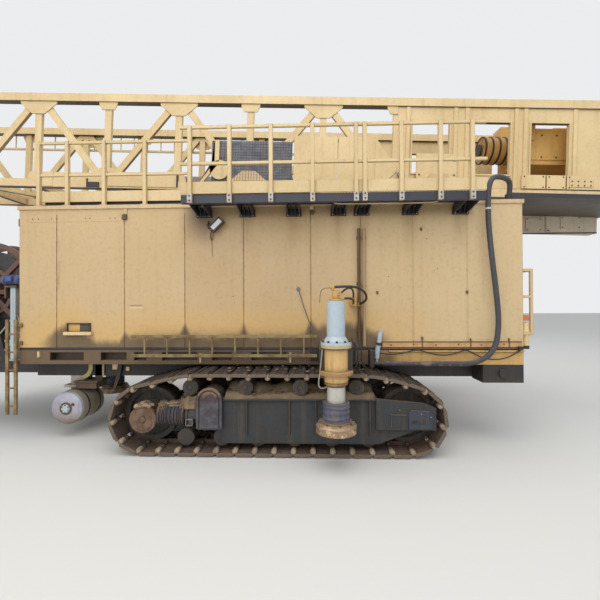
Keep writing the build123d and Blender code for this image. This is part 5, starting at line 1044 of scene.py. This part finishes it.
def floodlight():  # a lamp turned askew on its bracket, with its lead looping down the wall
    x, y, z = wall["lampX"], wallY - 0.1, wall["lampZ"]
    frame = boxes((-0.115, 0.115, -0.02, 0.045, -0.058, 0.058))
    face = boxes((-0.092, 0.092, -0.027, -0.019, -0.036, 0.036))
    rim = boxes((-0.115, 0.115, -0.03, -0.018, 0.044, 0.058), (-0.115, 0.115, -0.03, -0.018, -0.058, -0.044),
            (-0.115, -0.1, -0.03, -0.018, -0.046, 0.046), (0.1, 0.115, -0.03, -0.018, -0.046, 0.046))
    for surface, paint in ((frame, 0), (rim, 0), (face, 1)):
        yield seated(spun(surface, -wall["lampTurn"], "Y"), (x, y, z)), paint
    yield boxes((x - 0.15, x - 0.135, wallY - 0.06, wallY + sunk, z - 0.05, z + 0.06),
            (x - 0.17, x - 0.05, wallY - 0.06, wallY - 0.05, z - 0.005, z + 0.01),
            (x - 0.03, x + 0.03, y + 0.03, wallY + sunk, z - 0.02, z + 0.02)), 2
    loop = fromCorner((x, wallY, z), [(-0.1, -0.02, -0.08), (-0.075, -0.03, -0.1), (-0.07, -0.03, -0.17),
            (-0.09, -0.025, -0.235), (-0.115, -0.02, -0.2), (-0.112, -0.02, -0.12), (-0.095, -0.03, -0.07)])
    yield tube(loop, 0.006), 2
    yield tube([(x - 0.1, wallY - 0.015, z - 0.22), (x - 0.095, wallY - 0.01, z - 0.3),
            (x - 0.09, wallY + sunk, z - 0.47)], 0.0035), 3


make("wallFittings", wallFittings(), "platform", "tan_paint", "wall", "dark", "cream", "yellow", "pipe", "brown",
        "grey", "footStrip", "lamp", edge=0.002)
make("floodlight", floodlight(), "platform", "dark_paint", "dark", "lamp", "black", "pipe", edge=0.002)
make("brokenPipe", brokenPipe(), "platform", "bare_steel", "blueGrey", "frame", edge=0.002)
make("frontCorner", frontCorner(), "platform", "yellow_paint", "orange", "frame", "cream", edge=0.002)

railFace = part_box("railings")[0].y
walk = {
    "posts": (0.14, 0.7, 1.28, 1.86, 2.46, 2.58, 3.08, 3.61, 4.04), "boltsZ": (3.575, 3.64), "barStep": 0.045,
    "tubeZ": 3.53, "ribs": (-0.1, -0.035, 0.03, 0.095),
}


def walkwayFittings():  # post feet with bolts, grating bars, a thin pipe, brackets' ribs and bolted plates
    posts = np.array([walkLow.x + at for at in walk["posts"]])
    yield boxes(*[(x - 0.034, x + 0.034, railFace - 0.006, railFace + 0.02, 3.545, 3.668) for x in posts]), 3
    yield nearBolts([(x, railFace - 0.005, z) for x in posts for z in walk["boltsZ"]], 0.012, 0.01), 1
    bars = np.arange(walkLow.x + 0.03, walkHigh.x - 0.03, walk["barStep"])
    yield boxes(*[(x, x + 0.006, walkLow.y + 0.06, wallY - 0.03, walkHigh.z - 0.004, walkHigh.z + 0.012)
            for x in bars]), 0
    yield tube([(1.8, -2.03, walk["tubeZ"] + 0.012), (1.85, -2.032, walk["tubeZ"]), (2.5, -2.03, walk["tubeZ"]),
            (3.15, -2.032, walk["tubeZ"]), (3.2, -2.03, walk["tubeZ"] + 0.012)], 0.011), 2
    low = walkLow.z
    for x in bracketsX:
        for rib in walk["ribs"]:
            yield plate([(wallY + sunk, low - 0.008), (wallY + sunk, 3.6), (wallY - 0.16, 3.6),
                    (wallY - 0.05, low - 0.008)], x + rib - 0.005, x + rib + 0.005, "X"), 1
        yield boxes((x - 0.12, x + 0.12, wallY - 0.045, wallY + sunk, low - 0.014, low + 0.012)), 1
        yield nearBolts([(x + dx, wallY - 0.044, low) for dx in (-0.09, 0.09)], 0.01, 0.012), 2


make("walkwayFittings", walkwayFittings(), "platform", "dark_paint", "dark", "frame", "cream", "foot", edge=0.002)
print("tracks, jacks and near wall made")


# Mast details, drawn in the mast's own frame and laid on the lowered mast
mast = {
    "low": -0.1, "high": 1.6, "chord": 0.14, "face": 0.72, "outer": 0.75, "crown": -11.05, "platedFrom": -0.7,
    "bays": 8,
}
bay = (mast["platedFrom"] - mast["crown"]) / mast["bays"]


def gussets():  # plates at the lattice's corners, on both sides
    bottom, top = mast["low"] + mast["chord"] - 0.03, mast["high"] - mast["chord"] + 0.03
    for i in range(mast["bays"] + 1):
        x = mast["crown"] + i * bay
        meets = i % 2 == 0
        for z, rise, wide in ((bottom, 1, meets), (top, -1, not meets)):
            reach = 0.34 if wide else 0.17
            left = 0.0 if i == 0 else reach
            right = 0.02 if i == mast["bays"] else reach
            high = 0.26 if wide else 0.17
            outline = [(x - left, z), (x + right, z), (x + right, z + rise * 0.07),
                    (x + min(right, 0.12), z + rise * high), (x - min(left, 0.12), z + rise * high),
                    (x - left, z + rise * 0.07)]
            for side in (-1, 1):
                face = side * mast["face"]
                yield plate(outline, *sorted((face - side * sunk, face + side * 0.012))), 0


def mastPanels():  # side covers, mesh guard, round cover and boxes that show on the near side, with a dark strip of painted shade along its foot
    face = -mast["face"]
    for x0, x1, z0, z1, out in ((-5.83, -4.56, -0.07, 0.19, 0.04), (-6.84, -5.85, 0.0, 0.17, 0.025),
            (-7.05, -6.84, -0.09, 0.17, 0.035)):
        yield boxes((x0, x1, face - out, face + 0.004, z0, z1)), 0
    yield boxes((-4.575, -4.548, face - 0.045, face + 0.004, -0.06, 0.2)), 2
    yield boxes((-5.84, -5.83, face - 0.04, face + 0.004, -0.06, 0.19),
            (-6.2, -5.98, face - 0.05, face + 0.004, -0.09, 0.0),
            (-6.21, -6.19, face - 0.05, face + 0.004, -0.09, 0.06)), 4
    x0, x1, z0, z1 = -3.98, -2.5, 0.03, 0.8
    yield plate([(x0 + 0.02, z0), (x1 + 0.03, z0), (x1 - 0.02, z0 + 0.24), (x1 - 0.02, z1), (x0 + 0.02, z1)],
            face - 0.006, face + sunk), 3
    for x in np.arange(x0 + 0.04, x1 - 0.03, 0.05):
        yield boxes((x - 0.004, x + 0.004, face - 0.016, face - 0.005, z0, z1)), 3
    for z in np.arange(z0 + 0.02, z1, 0.05):
        yield boxes((x0 + 0.02, x1 - 0.02, face - 0.012, face - 0.005, z - 0.004, z + 0.004)), 3
    yield plate([(x0 - 0.2, z0 - 0.02), (x0 - 0.14, z0 - 0.02), (x0 + 0.16, z0 + 0.36), (x0 + 0.16, z1),
            (x0 + 0.08, z1), (x0 + 0.08, z0 + 0.38)], face - 0.034, face + 0.004), 0
    yield boxes((-2.49, -1.72, face - 0.028, face + 0.004, 0.045, 0.9),
            (-1.71, -1.06, face - 0.026, face + 0.004, 0.03, 0.9)), 0
    yield plate([(-1.06, 0.03), (-0.96, 0.03), (-0.68, 0.3), (-0.68, 0.4), (-1.06, 0.9)], face - 0.024,
            face + 0.004), 0
    yield disc(0.175, -0.034, 0.02, (-3.81, face, 0.27), "Y", 40), 0
    yield disc(0.05, -0.05, 0.0, (-0.62, face - 0.02, 0.25), "Y", 16), 1
    side = -mast["outer"]
    for a, b in ((1.46, 1.86), (1.88, 2.2), (2.22, 2.86)):
        yield boxes((a, b, side - 0.018, side + 0.035, 0.05, 0.29)), 0
        yield nearBolts([(x, side - 0.017, z) for x in (a + 0.04, b - 0.04) for z in (0.08, 0.26)], 0.012, 0.01), 2
    yield boxes((2.26, 2.66, side - 0.025, side - 0.01, 0.09, 0.22)), 0
    # dark strip along the foot of the near side: painted shade standing in for the shadowed underside
    yield boxes((1.3, 3.62, side - 0.006, side + 0.004, -0.098, -0.018)), 4
    yield nearBolts([(2.3 + 0.105 * i, side - 0.024, z) for i in range(4) for z in (0.12, 0.19)], 0.012, 0.012), 2


def tongFittings():  # plates, a slanting bar and bolts on the near side of the tongs' frame
    low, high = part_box("tong_frame")
    y = low.y
    for start, end, bottom, top, out in ((0.06, 0.3, 0.08, 0.36, 0.02), (0.34, 0.42, 0.04, 0.4, 0.03),
            (0.84, 1.14, 0.12, 0.38, 0.024), (1.2, 1.52, 0.06, 0.34, 0.018), (1.6, 1.68, 0.04, 0.4, 0.03),
            (1.9, 2.3, 0.1, 0.36, 0.02)):
        x0, x1 = low.x + start, low.x + end
        yield boxes((x0, x1, y - out, y + sunk, low.z + bottom, low.z + top)), 0
        yield nearBolts([(x, y - out, z) for x in (x0 + 0.03, x1 - 0.03)
                for z in (low.z + bottom + 0.03, low.z + top - 0.03)], 0.012, 0.01), 1
    yield tube([(low.x + 0.4, y - 0.02, low.z + 0.03), (low.x + 0.62, y - 0.028, low.z + 0.2),
            (low.x + 0.86, y - 0.02, low.z + 0.39)], 0.013, 4, 8), 0
    yield boxes((low.x + 0.01, high.x - 0.01, y - 0.006, y + sunk, low.z + 0.004, low.z + 0.03)), 2


def mastSkin():  # rows of bolts and stiffening strips on the plated foot, rungs up the crown end
    for side in (-1, 1):
        face = side * mast["face"]
        for x in (-0.5, 0.32, 0.52, 1.36, 1.52, 2.36, 2.9, 3.4):
            strip = boxes((x - 0.035, x + 0.035, face - side * sunk, face + side * 0.02, 0.05, 1.45))
            yield strip, 0
        for x0, x1 in ((-0.42, 0.22), (0.62, 1.26), (1.62, 2.26)):
            rim = [(x0 - 0.03, x0, 0.27, 1.23), (x1, x1 + 0.03, 0.27, 1.23), (x0, x1, 0.27, 0.3), (x0, x1, 1.2, 1.23)]
            yield boxes(*[(a, b, face - side * 0.003, face + side * 0.014, c, d) for a, b, c, d in rim]), 0
    doublerBolts = [(x, -0.777, z) for x in (-0.3, 0.3) for z in (0.0, 0.25, 0.5)]
    doublerBolts += list(map(tuple, circle(10, 0.13, (0, -0.777, 0), "Y")))
    heads = nearBolts(doublerBolts, 0.016, 0.012)
    yield heads, 1
    yield mirrored(heads), 1
    for i in range(34):
        x = mast["crown"] + 0.4 + i * 0.3
        yield boxes((x, x + 0.02, 0.76, 0.775, 1.2, 1.52)), 2
    yield boxes((mast["crown"] + 0.3, -0.7, 0.748, 0.785, 1.16, 1.2),
            (mast["crown"] + 0.3, -0.7, 0.748, 0.785, 1.5, 1.54)), 2


make("mastGussets", gussets(), "mast", "tan_paint", "cream", edge=0.003, place=onMast)
make("mastPanels", mastPanels(), "mast", "tan_paint", "cream", "grey", "frame", "mesh", "dark", edge=0.002,
        place=onMast)
make("tongFittings", tongFittings(), "mast", "tan_paint", "tongs", "frame", "dark", edge=0.002)
make("mastSkin", mastSkin(), "mast", "tan_paint", "cream", "frame", "rail", edge=0.002, place=onMast)


# Cable reel, its drive, and the air receiver
reelLow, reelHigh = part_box("cable_reel")
reel = {
    "x": (reelLow.x + reelHigh.x) / 2, "y": (reelLow.y + reelHigh.y) / 2, "z": (reelLow.z + reelHigh.z) / 2,
    "core": 0.425, "full": 0.68, "half": 0.196, "turns": 11,
}


def woundCable():  # the reel's cable: a drum whose skin rises and falls once for every turn
    turns = reel["turns"]
    share = np.linspace(0, 1, turns * 5 + 1)
    lift = 0.017 * np.abs(np.sin(np.pi * turns * share)) + 0.012 * np.sin(share * 9)
    profile = [(reel["core"] - 0.01, -reel["half"]), *zip(reel["full"] + lift, reel["half"] * (2 * share - 1)),
            (reel["core"] - 0.01, reel["half"]), (reel["core"] - 0.01, -reel["half"])]
    return turned(profile, (reel["x"], reel["y"], reel["z"]), "Y", 56)


def reelDrive():  # pale post with a blue motor beside the reel, thin braces and a bracket
    x, y, low, high = rearX - 0.4, -1.215, 1.2, 2.44
    yield boxes((x - 0.045, x + 0.045, y - 0.04, y + 0.04, low - sunk, high),
            (x - 0.1, x + 0.1, y - 0.07, y + 0.09, low - sunk, low + 0.016)), 0
    yield boxes((x - 0.12, x + 0.08, y - 0.07, y + 0.07, high - 0.02, high + 0.012),
            (x - 0.12, x - 0.1, y - 0.07, y + 0.07, high - 0.2, high - 0.02)), 3
    axis = (x - 0.03, y, high + 0.102)
    yield turned([(0, -0.15), (0.075, -0.145), (0.086, -0.12), (0.086, 0.11), (0.06, 0.14), (0, 0.14)], axis, "X",
            24), 1
    for i in range(9):
        yield band(0.07, 0.094, -0.1 + i * 0.022, -0.094 + i * 0.022, axis, "X", 24), 1
    yield boxes((x - 0.07, x + 0.04, y - 0.12, y - 0.07, high + 0.08, high + 0.16)), 1
    for reach, rise in ((-0.62, 0.75), (0.3, 0.9), (-0.4, 0.3)):
        foot, head = np.array((x + reach, y, low)), np.array((x, y, low + rise))
        yield carried(flatSection(0.012, 0.012), [foot, head], (0, 1, 0)), 2


def receiverFittings():  # painted end, ring and notched boss, straps, bracket above, bent strap and hanger plates
    x, z = rearX + 0.68, 0.48
    face = np.array((x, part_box("air_receiver")[0].y, z))
    yield turned([(0, 0.002), (0.2, 0.002), (0.248, 0.03), (0.262, 0.075), (0.25, 0.08), (0, 0.08)], face, "Y", 48), 0
    yield band(0.072, 0.098, -0.006, 0.01, face, "Y", 32), 4
    yield disc(0.07, -0.018, 0.01, face, "Y", 32, 0.008), 5
    yield nearBolts(circle(6, 0.056, face - (0, 0.016, 0), "Y"), 0.01, 0.008), 1
    yield disc(0.02, -0.026, 0.0, face + (0.12, 0.0, 0.07), "Y", 12), 6
    for y in (-1.3, -1.0):
        yield band(0.255, 0.266, -0.02, 0.02, (x, y, z), "Y", 40), 6
    yield boxes((x + 0.02, x + 0.37, -1.3, -1.0, 0.75, 0.86), (x, x + 0.4, -1.33, -0.97, 0.85, 0.875)), 4
    strap = [(x + 0.13, wallY + 0.36, 0.93), (x + 0.2, wallY + 0.36, 0.97), (x + 0.24, wallY + 0.36, 1.05),
            (x + 0.24, wallY + 0.36, 1.16), (x + 0.22, wallY + 0.37, 1.2)]
    yield carried(flatSection(0.035, 0.006), smoothPath(strap), (0, 1, 0)), 2
    yield carried(flatSection(0.018, 0.006), smoothPath([(x + 0.47, -1.24, 1.2), (x + 0.45, -1.24, 1.12),
            (x + 0.45, -1.24, 1.0)]), (0, 1, 0)), 2
    yield boxes((x + 0.6, x + 0.73, -1.236, -1.218, 1.05, 1.16), (x + 0.83, x + 0.89, -1.24, -1.22, 1.03, 1.1)), 3
    yield plate([(x + 0.72, 1.2), (x + 0.8, 1.2), (x + 0.74, 0.92), (x + 0.66, 0.72), (x + 0.63, 0.74),
            (x + 0.68, 0.95)], -1.27, -1.245), 6
    yield boxes((x + 0.3, x + 0.42, -1.22, -1.2, 0.87, 1.2)), 6


make("woundCable", [(woundCable(), 0)], "cable_reel", "rubber", "black", smooth=70)
make("reelDrive", reelDrive(), "platform", "dark_paint", "blueGrey", "blue", "bare", "brown", edge=0.003)
make("receiverFittings", receiverFittings(), "platform", "grey_blue_paint", "lilac", "roller", "straw", "cream",
        "brown", "blueGrey", "frame", edge=0.002)
print("mast, reel and receiver dressed")


# Cab, rotary head, crown, roof, far wall and rear wall
cab = {
    "rear": 2.88852, "front": 4.88852, "inner": 0.97, "outer": 2.06, "top": 3.7, "glassLow": 2.35, "glassHigh": 3.42,
    "gasket": 0.028, "stand": 0.009,
}


def windowRim(low, high, bottom, top, wide):  # four strips round an opening, as (along, up) rows
    return [(low - wide, high + wide, bottom - wide, bottom), (low - wide, high + wide, top, top + wide),
            (low - wide, low, bottom, top), (high, high + wide, bottom, top)]


def cabFittings():  # gaskets, wiper, lamps, mirror, grab rail and roof cover
    rear, front, inner, outer, roof, bottom, top, wide, stand = cab.values()
    yield boxes(*[(front - sunk, front + stand, a, b, c, d)
            for a, b, c, d in windowRim(inner + 0.11, outer - 0.11, bottom, top, wide)]), 1
    yield boxes(*[(a, b, outer - sunk, outer + stand, c, d)
            for a, b, c, d in windowRim(rear + 0.79, front - 0.11, bottom, top, wide)]), 1
    yield boxes(*[(a, b, inner - stand, inner + sunk, c, d)
            for a, b, c, d in windowRim(rear + 0.5, front - 0.11, bottom, top, wide)]), 1
    x, middle = front, (inner + outer) / 2
    yield disc(0.035, 0.0, 0.04, (x, middle, top + 0.09), "X", 16), 1
    yield tube([(x + 0.03, middle, top + 0.09), (x + 0.035, middle + 0.1, top - 0.15),
            (x + 0.03, middle + 0.2, top - 0.4)], 0.008, 6, 6), 1
    yield boxes((x + 0.012, x + 0.032, middle + 0.185, middle + 0.2, top - 0.75, top - 0.1)), 1
    for y in (inner + 0.16, outer - 0.16):
        yield boxes((x - sunk, x + 0.05, y - 0.02, y + 0.02, 3.56, 3.58),
                (x + 0.03, x + 0.12, y - 0.09, y + 0.09, 3.52, 3.64)), 1
        yield boxes((x + 0.119, x + 0.127, y - 0.075, y + 0.075, 3.535, 3.625)), 2
    yield tube([(x - 0.2, outer - 0.01, 3.35), (x - 0.12, outer + 0.16, 3.36), (x - 0.08, outer + 0.24, 3.3)], 0.012,
            6, 8), 1
    yield boxes((x - 0.1, x - 0.075, outer + 0.15, outer + 0.33, 2.95, 3.3)), 1
    yield boxes((x - 0.104, x - 0.099, outer + 0.165, outer + 0.315, 2.965, 3.285)), 2
    rail = rear + 0.74
    yield tube([(rail, outer - 0.01, 2.2), (rail, outer + 0.07, 2.2), (rail, outer + 0.07, 2.6),
            (rail, outer + 0.07, 3.0), (rail, outer - 0.01, 3.0)], 0.014, 5, 10), 3
    yield boxes((rear + 0.45, rear + 1.25, inner + 0.2, outer - 0.2, roof - sunk, roof + 0.05)), 0
    yield boxes(*[(rear + 1.35 + 0.05 * i, rear + 1.37 + 0.05 * i, inner + 0.25, outer - 0.25, roof - sunk,
            roof + 0.03) for i in range(8)]), 1


make("cabFittings", cabFittings(), "platform", "tan_paint", "house", "black", "lamp", "rail", edge=0.003)


def headFittings():  # bands and end cap of the drive motor, side covers, hose ports and the nose's bolted ring
    axis = (0, 0, 1.01)
    for x in (1.07, 1.2, 1.33, 1.46):
        yield band(0.23, 0.256, x, x + 0.03, axis, "X", 32), 1
    yield disc(0.12, 1.03, 1.055, axis, "X", 24), 2
    yield bolts(circle(8, 0.19, (1.049, 0, 1.01), "X"), "X", 0.016, 0.004), 2
    for side in (-1, 1):
        yield boxes((1.68, 2.78, side * 0.378, side * 0.396, 0.7, 1.2)), 0
        heads = bolts([(x, 0.395, z) for x in (1.74, 2.0, 2.26, 2.52, 2.72) for z in (0.75, 1.15)], "Y", 0.016, 0.012)
        yield heads if side > 0 else mirrored(heads), 2
    for y in (-0.2, 0.0, 0.2):
        yield turned([(0, 1.27), (0.05, 1.27), (0.05, 1.3), (0.035, 1.31), (0.035, 1.36), (0, 1.36)], (1.85, y, 0),
                "Z", 12), 2
    yield band(0.155, 0.26, 2.897, 2.918, (0, 0, 0.95), "X", 36), 1
    yield bolts(circle(12, 0.225, (2.917, 0, 0.95), "X"), "X", 0.015, 0.014), 2


make("headFittings", headFittings(), "rotary_head", "yellow_paint", "yellow", "frame", "roller", edge=0.003,
        place=onMast)


def crownFittings():  # caps and bolts at the sheaves' shaft, ribs on the cheeks, pads under the chord ends
    x, z = mast["crown"] + 0.195, mast["high"] + 0.06
    for side in (-1, 1):
        cap = disc(0.075, 0.418, 0.436, (x, 0, z), "Y", 24)
        heads = bolts(circle(4, 0.05, (x, 0.435, z), "Y"), "Y", 0.011, 0.01)
        for surface, paint in ((cap, 1), (heads, 2)):
            yield surface if side > 0 else mirrored(surface), paint
        edge = side * 0.75, side * 0.61
        yield boxes((mast["crown"], mast["crown"] + 0.012, *edge, 1.462, 1.598),
                (mast["crown"], mast["crown"] + 0.012, *edge, -0.098, 0.038)), 0
    yield bolts([(mast["crown"] + 0.195 + dx, y, mast["high"] - 0.001) for dx in (-0.05, 0.05)
            for y in (-0.55, -0.5, 0.5, 0.55)], "Z", 0.014, 0.012), 2


make("crownFittings", crownFittings(), "mast", "tan_paint", "cream", "roller", "frame", edge=0.002, place=onMast)


def roofFittings():  # bolted hatches beside the mast, lifting lugs, and lamps on the roof's rear corners
    for x0, x1, y0, y1 in ((-2.4, -1.5, -0.62, 0.62), (-1.1, -0.1, -0.62, 0.62), (0.2, 1.3, -0.62, 0.62),
            (-2.2, -1.3, 0.95, 1.4), (-0.6, 0.3, 0.95, 1.4), (0.7, 1.6, 0.95, 1.4)):
        yield boxes((x0, x1, y0, y1, roofZ - sunk, roofZ + 0.022)), 0
        yield bolts([(x, y, roofZ + 0.021) for x in np.linspace(x0 + 0.06, x1 - 0.06, 5)
                for y in (y0 + 0.05, y1 - 0.05)], "Z", 0.012, 0.01), 1
    for x in (-2.9, 1.5):
        for y in (-1.2, 1.2):
            lug = [(x + dx, roofZ + dz) for dx, dz in ((-0.09, -sunk), (0.09, -sunk), (0.05, 0.12), (-0.05, 0.12))]
            yield plate(lug, y - 0.015, y + 0.015), 0
    for y in (-1.35, 1.35):
        yield boxes((rearX - 0.15, rearX - 0.02, y - 0.09, y + 0.09, 3.4, 3.52),
                (rearX - 0.05, rearX + sunk, y - 0.02, y + 0.02, 3.44, 3.48)), 2
        yield boxes((rearX - 0.157, rearX - 0.149, y - 0.075, y + 0.075, 3.415, 3.505)), 3


def farFittings():  # louvres, bolt rows and handles on the far wall, louvre and bolts on the rear wall
    y = -wallY
    for x0 in (-2.4, -0.35, 0.55):
        yield boxes(*[(a, b, y - sunk, y + 0.02, c, d) for a, b, c, d in windowRim(x0, x0 + 0.7, 2.3, 3.1, 0.04)]), 0
        for i in range(14):
            z = 2.32 + i * 0.056
            slat = [(y - sunk, z + 0.02), (y + 0.03, z), (y + 0.03, z + 0.008), (y - sunk, z + 0.034)]
            yield plate(slat, x0, x0 + 0.7, "X"), 0
    yield bolts([(x, y - 0.001, z) for x in np.arange(-2.95, 2.7, 0.36) for z in (1.52, 3.56)], "Y", 0.012, 0.01), 1
    yield boxes(*[(x, x + 0.02, y - sunk, y + 0.05, 2.0, 2.16) for x in (-1.35, 1.55, 2.35)]), 1
    yield boxes(*[(rearX - 0.024, rearX + sunk, 0.5, 1.25, 2.3 + i * 0.06, 2.318 + i * 0.06) for i in range(14)]), 0
    yield boxes(*[(rearX - 0.02, rearX + sunk, a, b, c, d)
            for a, b, c, d in windowRim(0.5, 1.25, 2.28, 3.12, 0.04)]), 0
    yield mirroredX(bolts([(-(rearX + 0.001), y0, z) for y0 in np.arange(-1.5, 1.51, 0.375) for z in (1.52, 3.56)],
            "X", 0.012, 0.01)), 1


make("roofFittings", roofFittings(), "platform", "tan_paint", "house", "frame", "frame", "lamp", edge=0.002)
make("farFittings", farFittings(), "platform", "tan_paint", "house", "frame", edge=0.002)
print("cab, head, crown, roof and far side dressed")


# Floor, light and camera
def ground():
    size = 60.0
    mesh = bpy.data.meshes.new("floor")
    mesh.from_pydata([(-size, -size, 0), (size, -size, 0), (size, size, 0), (-size, size, 0)], [], [(0, 1, 2, 3)])
    kit = Kit("floorPaint")
    mesh.materials.append(kit.finish(tone(222, 221, 217), 0.95))
    floor = bpy.data.objects.new("floor", mesh)
    bpy.context.scene.collection.objects.link(floor)


def studioLight():
    world = bpy.data.worlds.new("studio")
    bpy.context.scene.world = world
    sky = Nodes(world)
    seen = sky.node("ShaderNodeLightPath", output="Is Camera Ray")
    others = [Signal(sky, seen.socket.node.outputs[ray]) for ray in ("Is Glossy Ray", "Is Transmission Ray")]
    soft = sky.node("ShaderNodeBackground", {}, {0: (0.93, 0.96, 1.0, 1), 1: 0.62})
    pale = sky.node("ShaderNodeBackground", {}, {0: tone(236, 237, 238), 1: 1.0})
    choose = sky.node("ShaderNodeMixShader", {}, {0: seen.most(others[0]).most(others[1]), 1: soft, 2: pale})
    sky.node("ShaderNodeOutputWorld", {}, {0: choose}, output=None)


lamps = {  # name: place, what it points at, size, power
    "overcastSky": ((1.0, -6.0, 16.0), (0.5, 0.0, 1.5), 16.0, 1500.0),
    "nearSide": ((-3.0, -18.0, 9.0), (0.5, 0.0, 2.0), 11.0, 900.0),
    "farSide": ((2.0, 17.0, 11.0), (0.5, 0.0, 2.0), 11.0, 420.0),
}


def hangLamp(name, place, target, size, power):
    data = bpy.data.lights.new(name, "AREA")
    data.size, data.energy = size, power
    lamp = bpy.data.objects.new(name, data)
    lamp.location = place
    lamp.rotation_euler = (Vector(target) - Vector(place)).to_track_quat("-Z", "Y").to_euler()
    bpy.context.scene.collection.objects.link(lamp)


shot = {"place": (1.472, -7.177, 2.148), "lens": 21.9, "turn": 2.0, "tip": 0.38, "roll": 0.27}


def setCamera():
    data = bpy.data.cameras.new("camera")
    data.lens, data.sensor_width = shot["lens"], 36.0
    data.clip_end = 200.0
    camera = bpy.data.objects.new("camera", data)
    camera.location = shot["place"]
    camera.rotation_euler = np.radians([90 + shot["tip"], shot["roll"], shot["turn"]]).tolist()
    bpy.context.scene.collection.objects.link(camera)
    bpy.context.scene.camera = camera


ground()
studioLight()
for lampName, lampValues in lamps.items():
    hangLamp(lampName, *lampValues)
setCamera()
bpy.context.scene.view_settings.view_transform = "Standard"
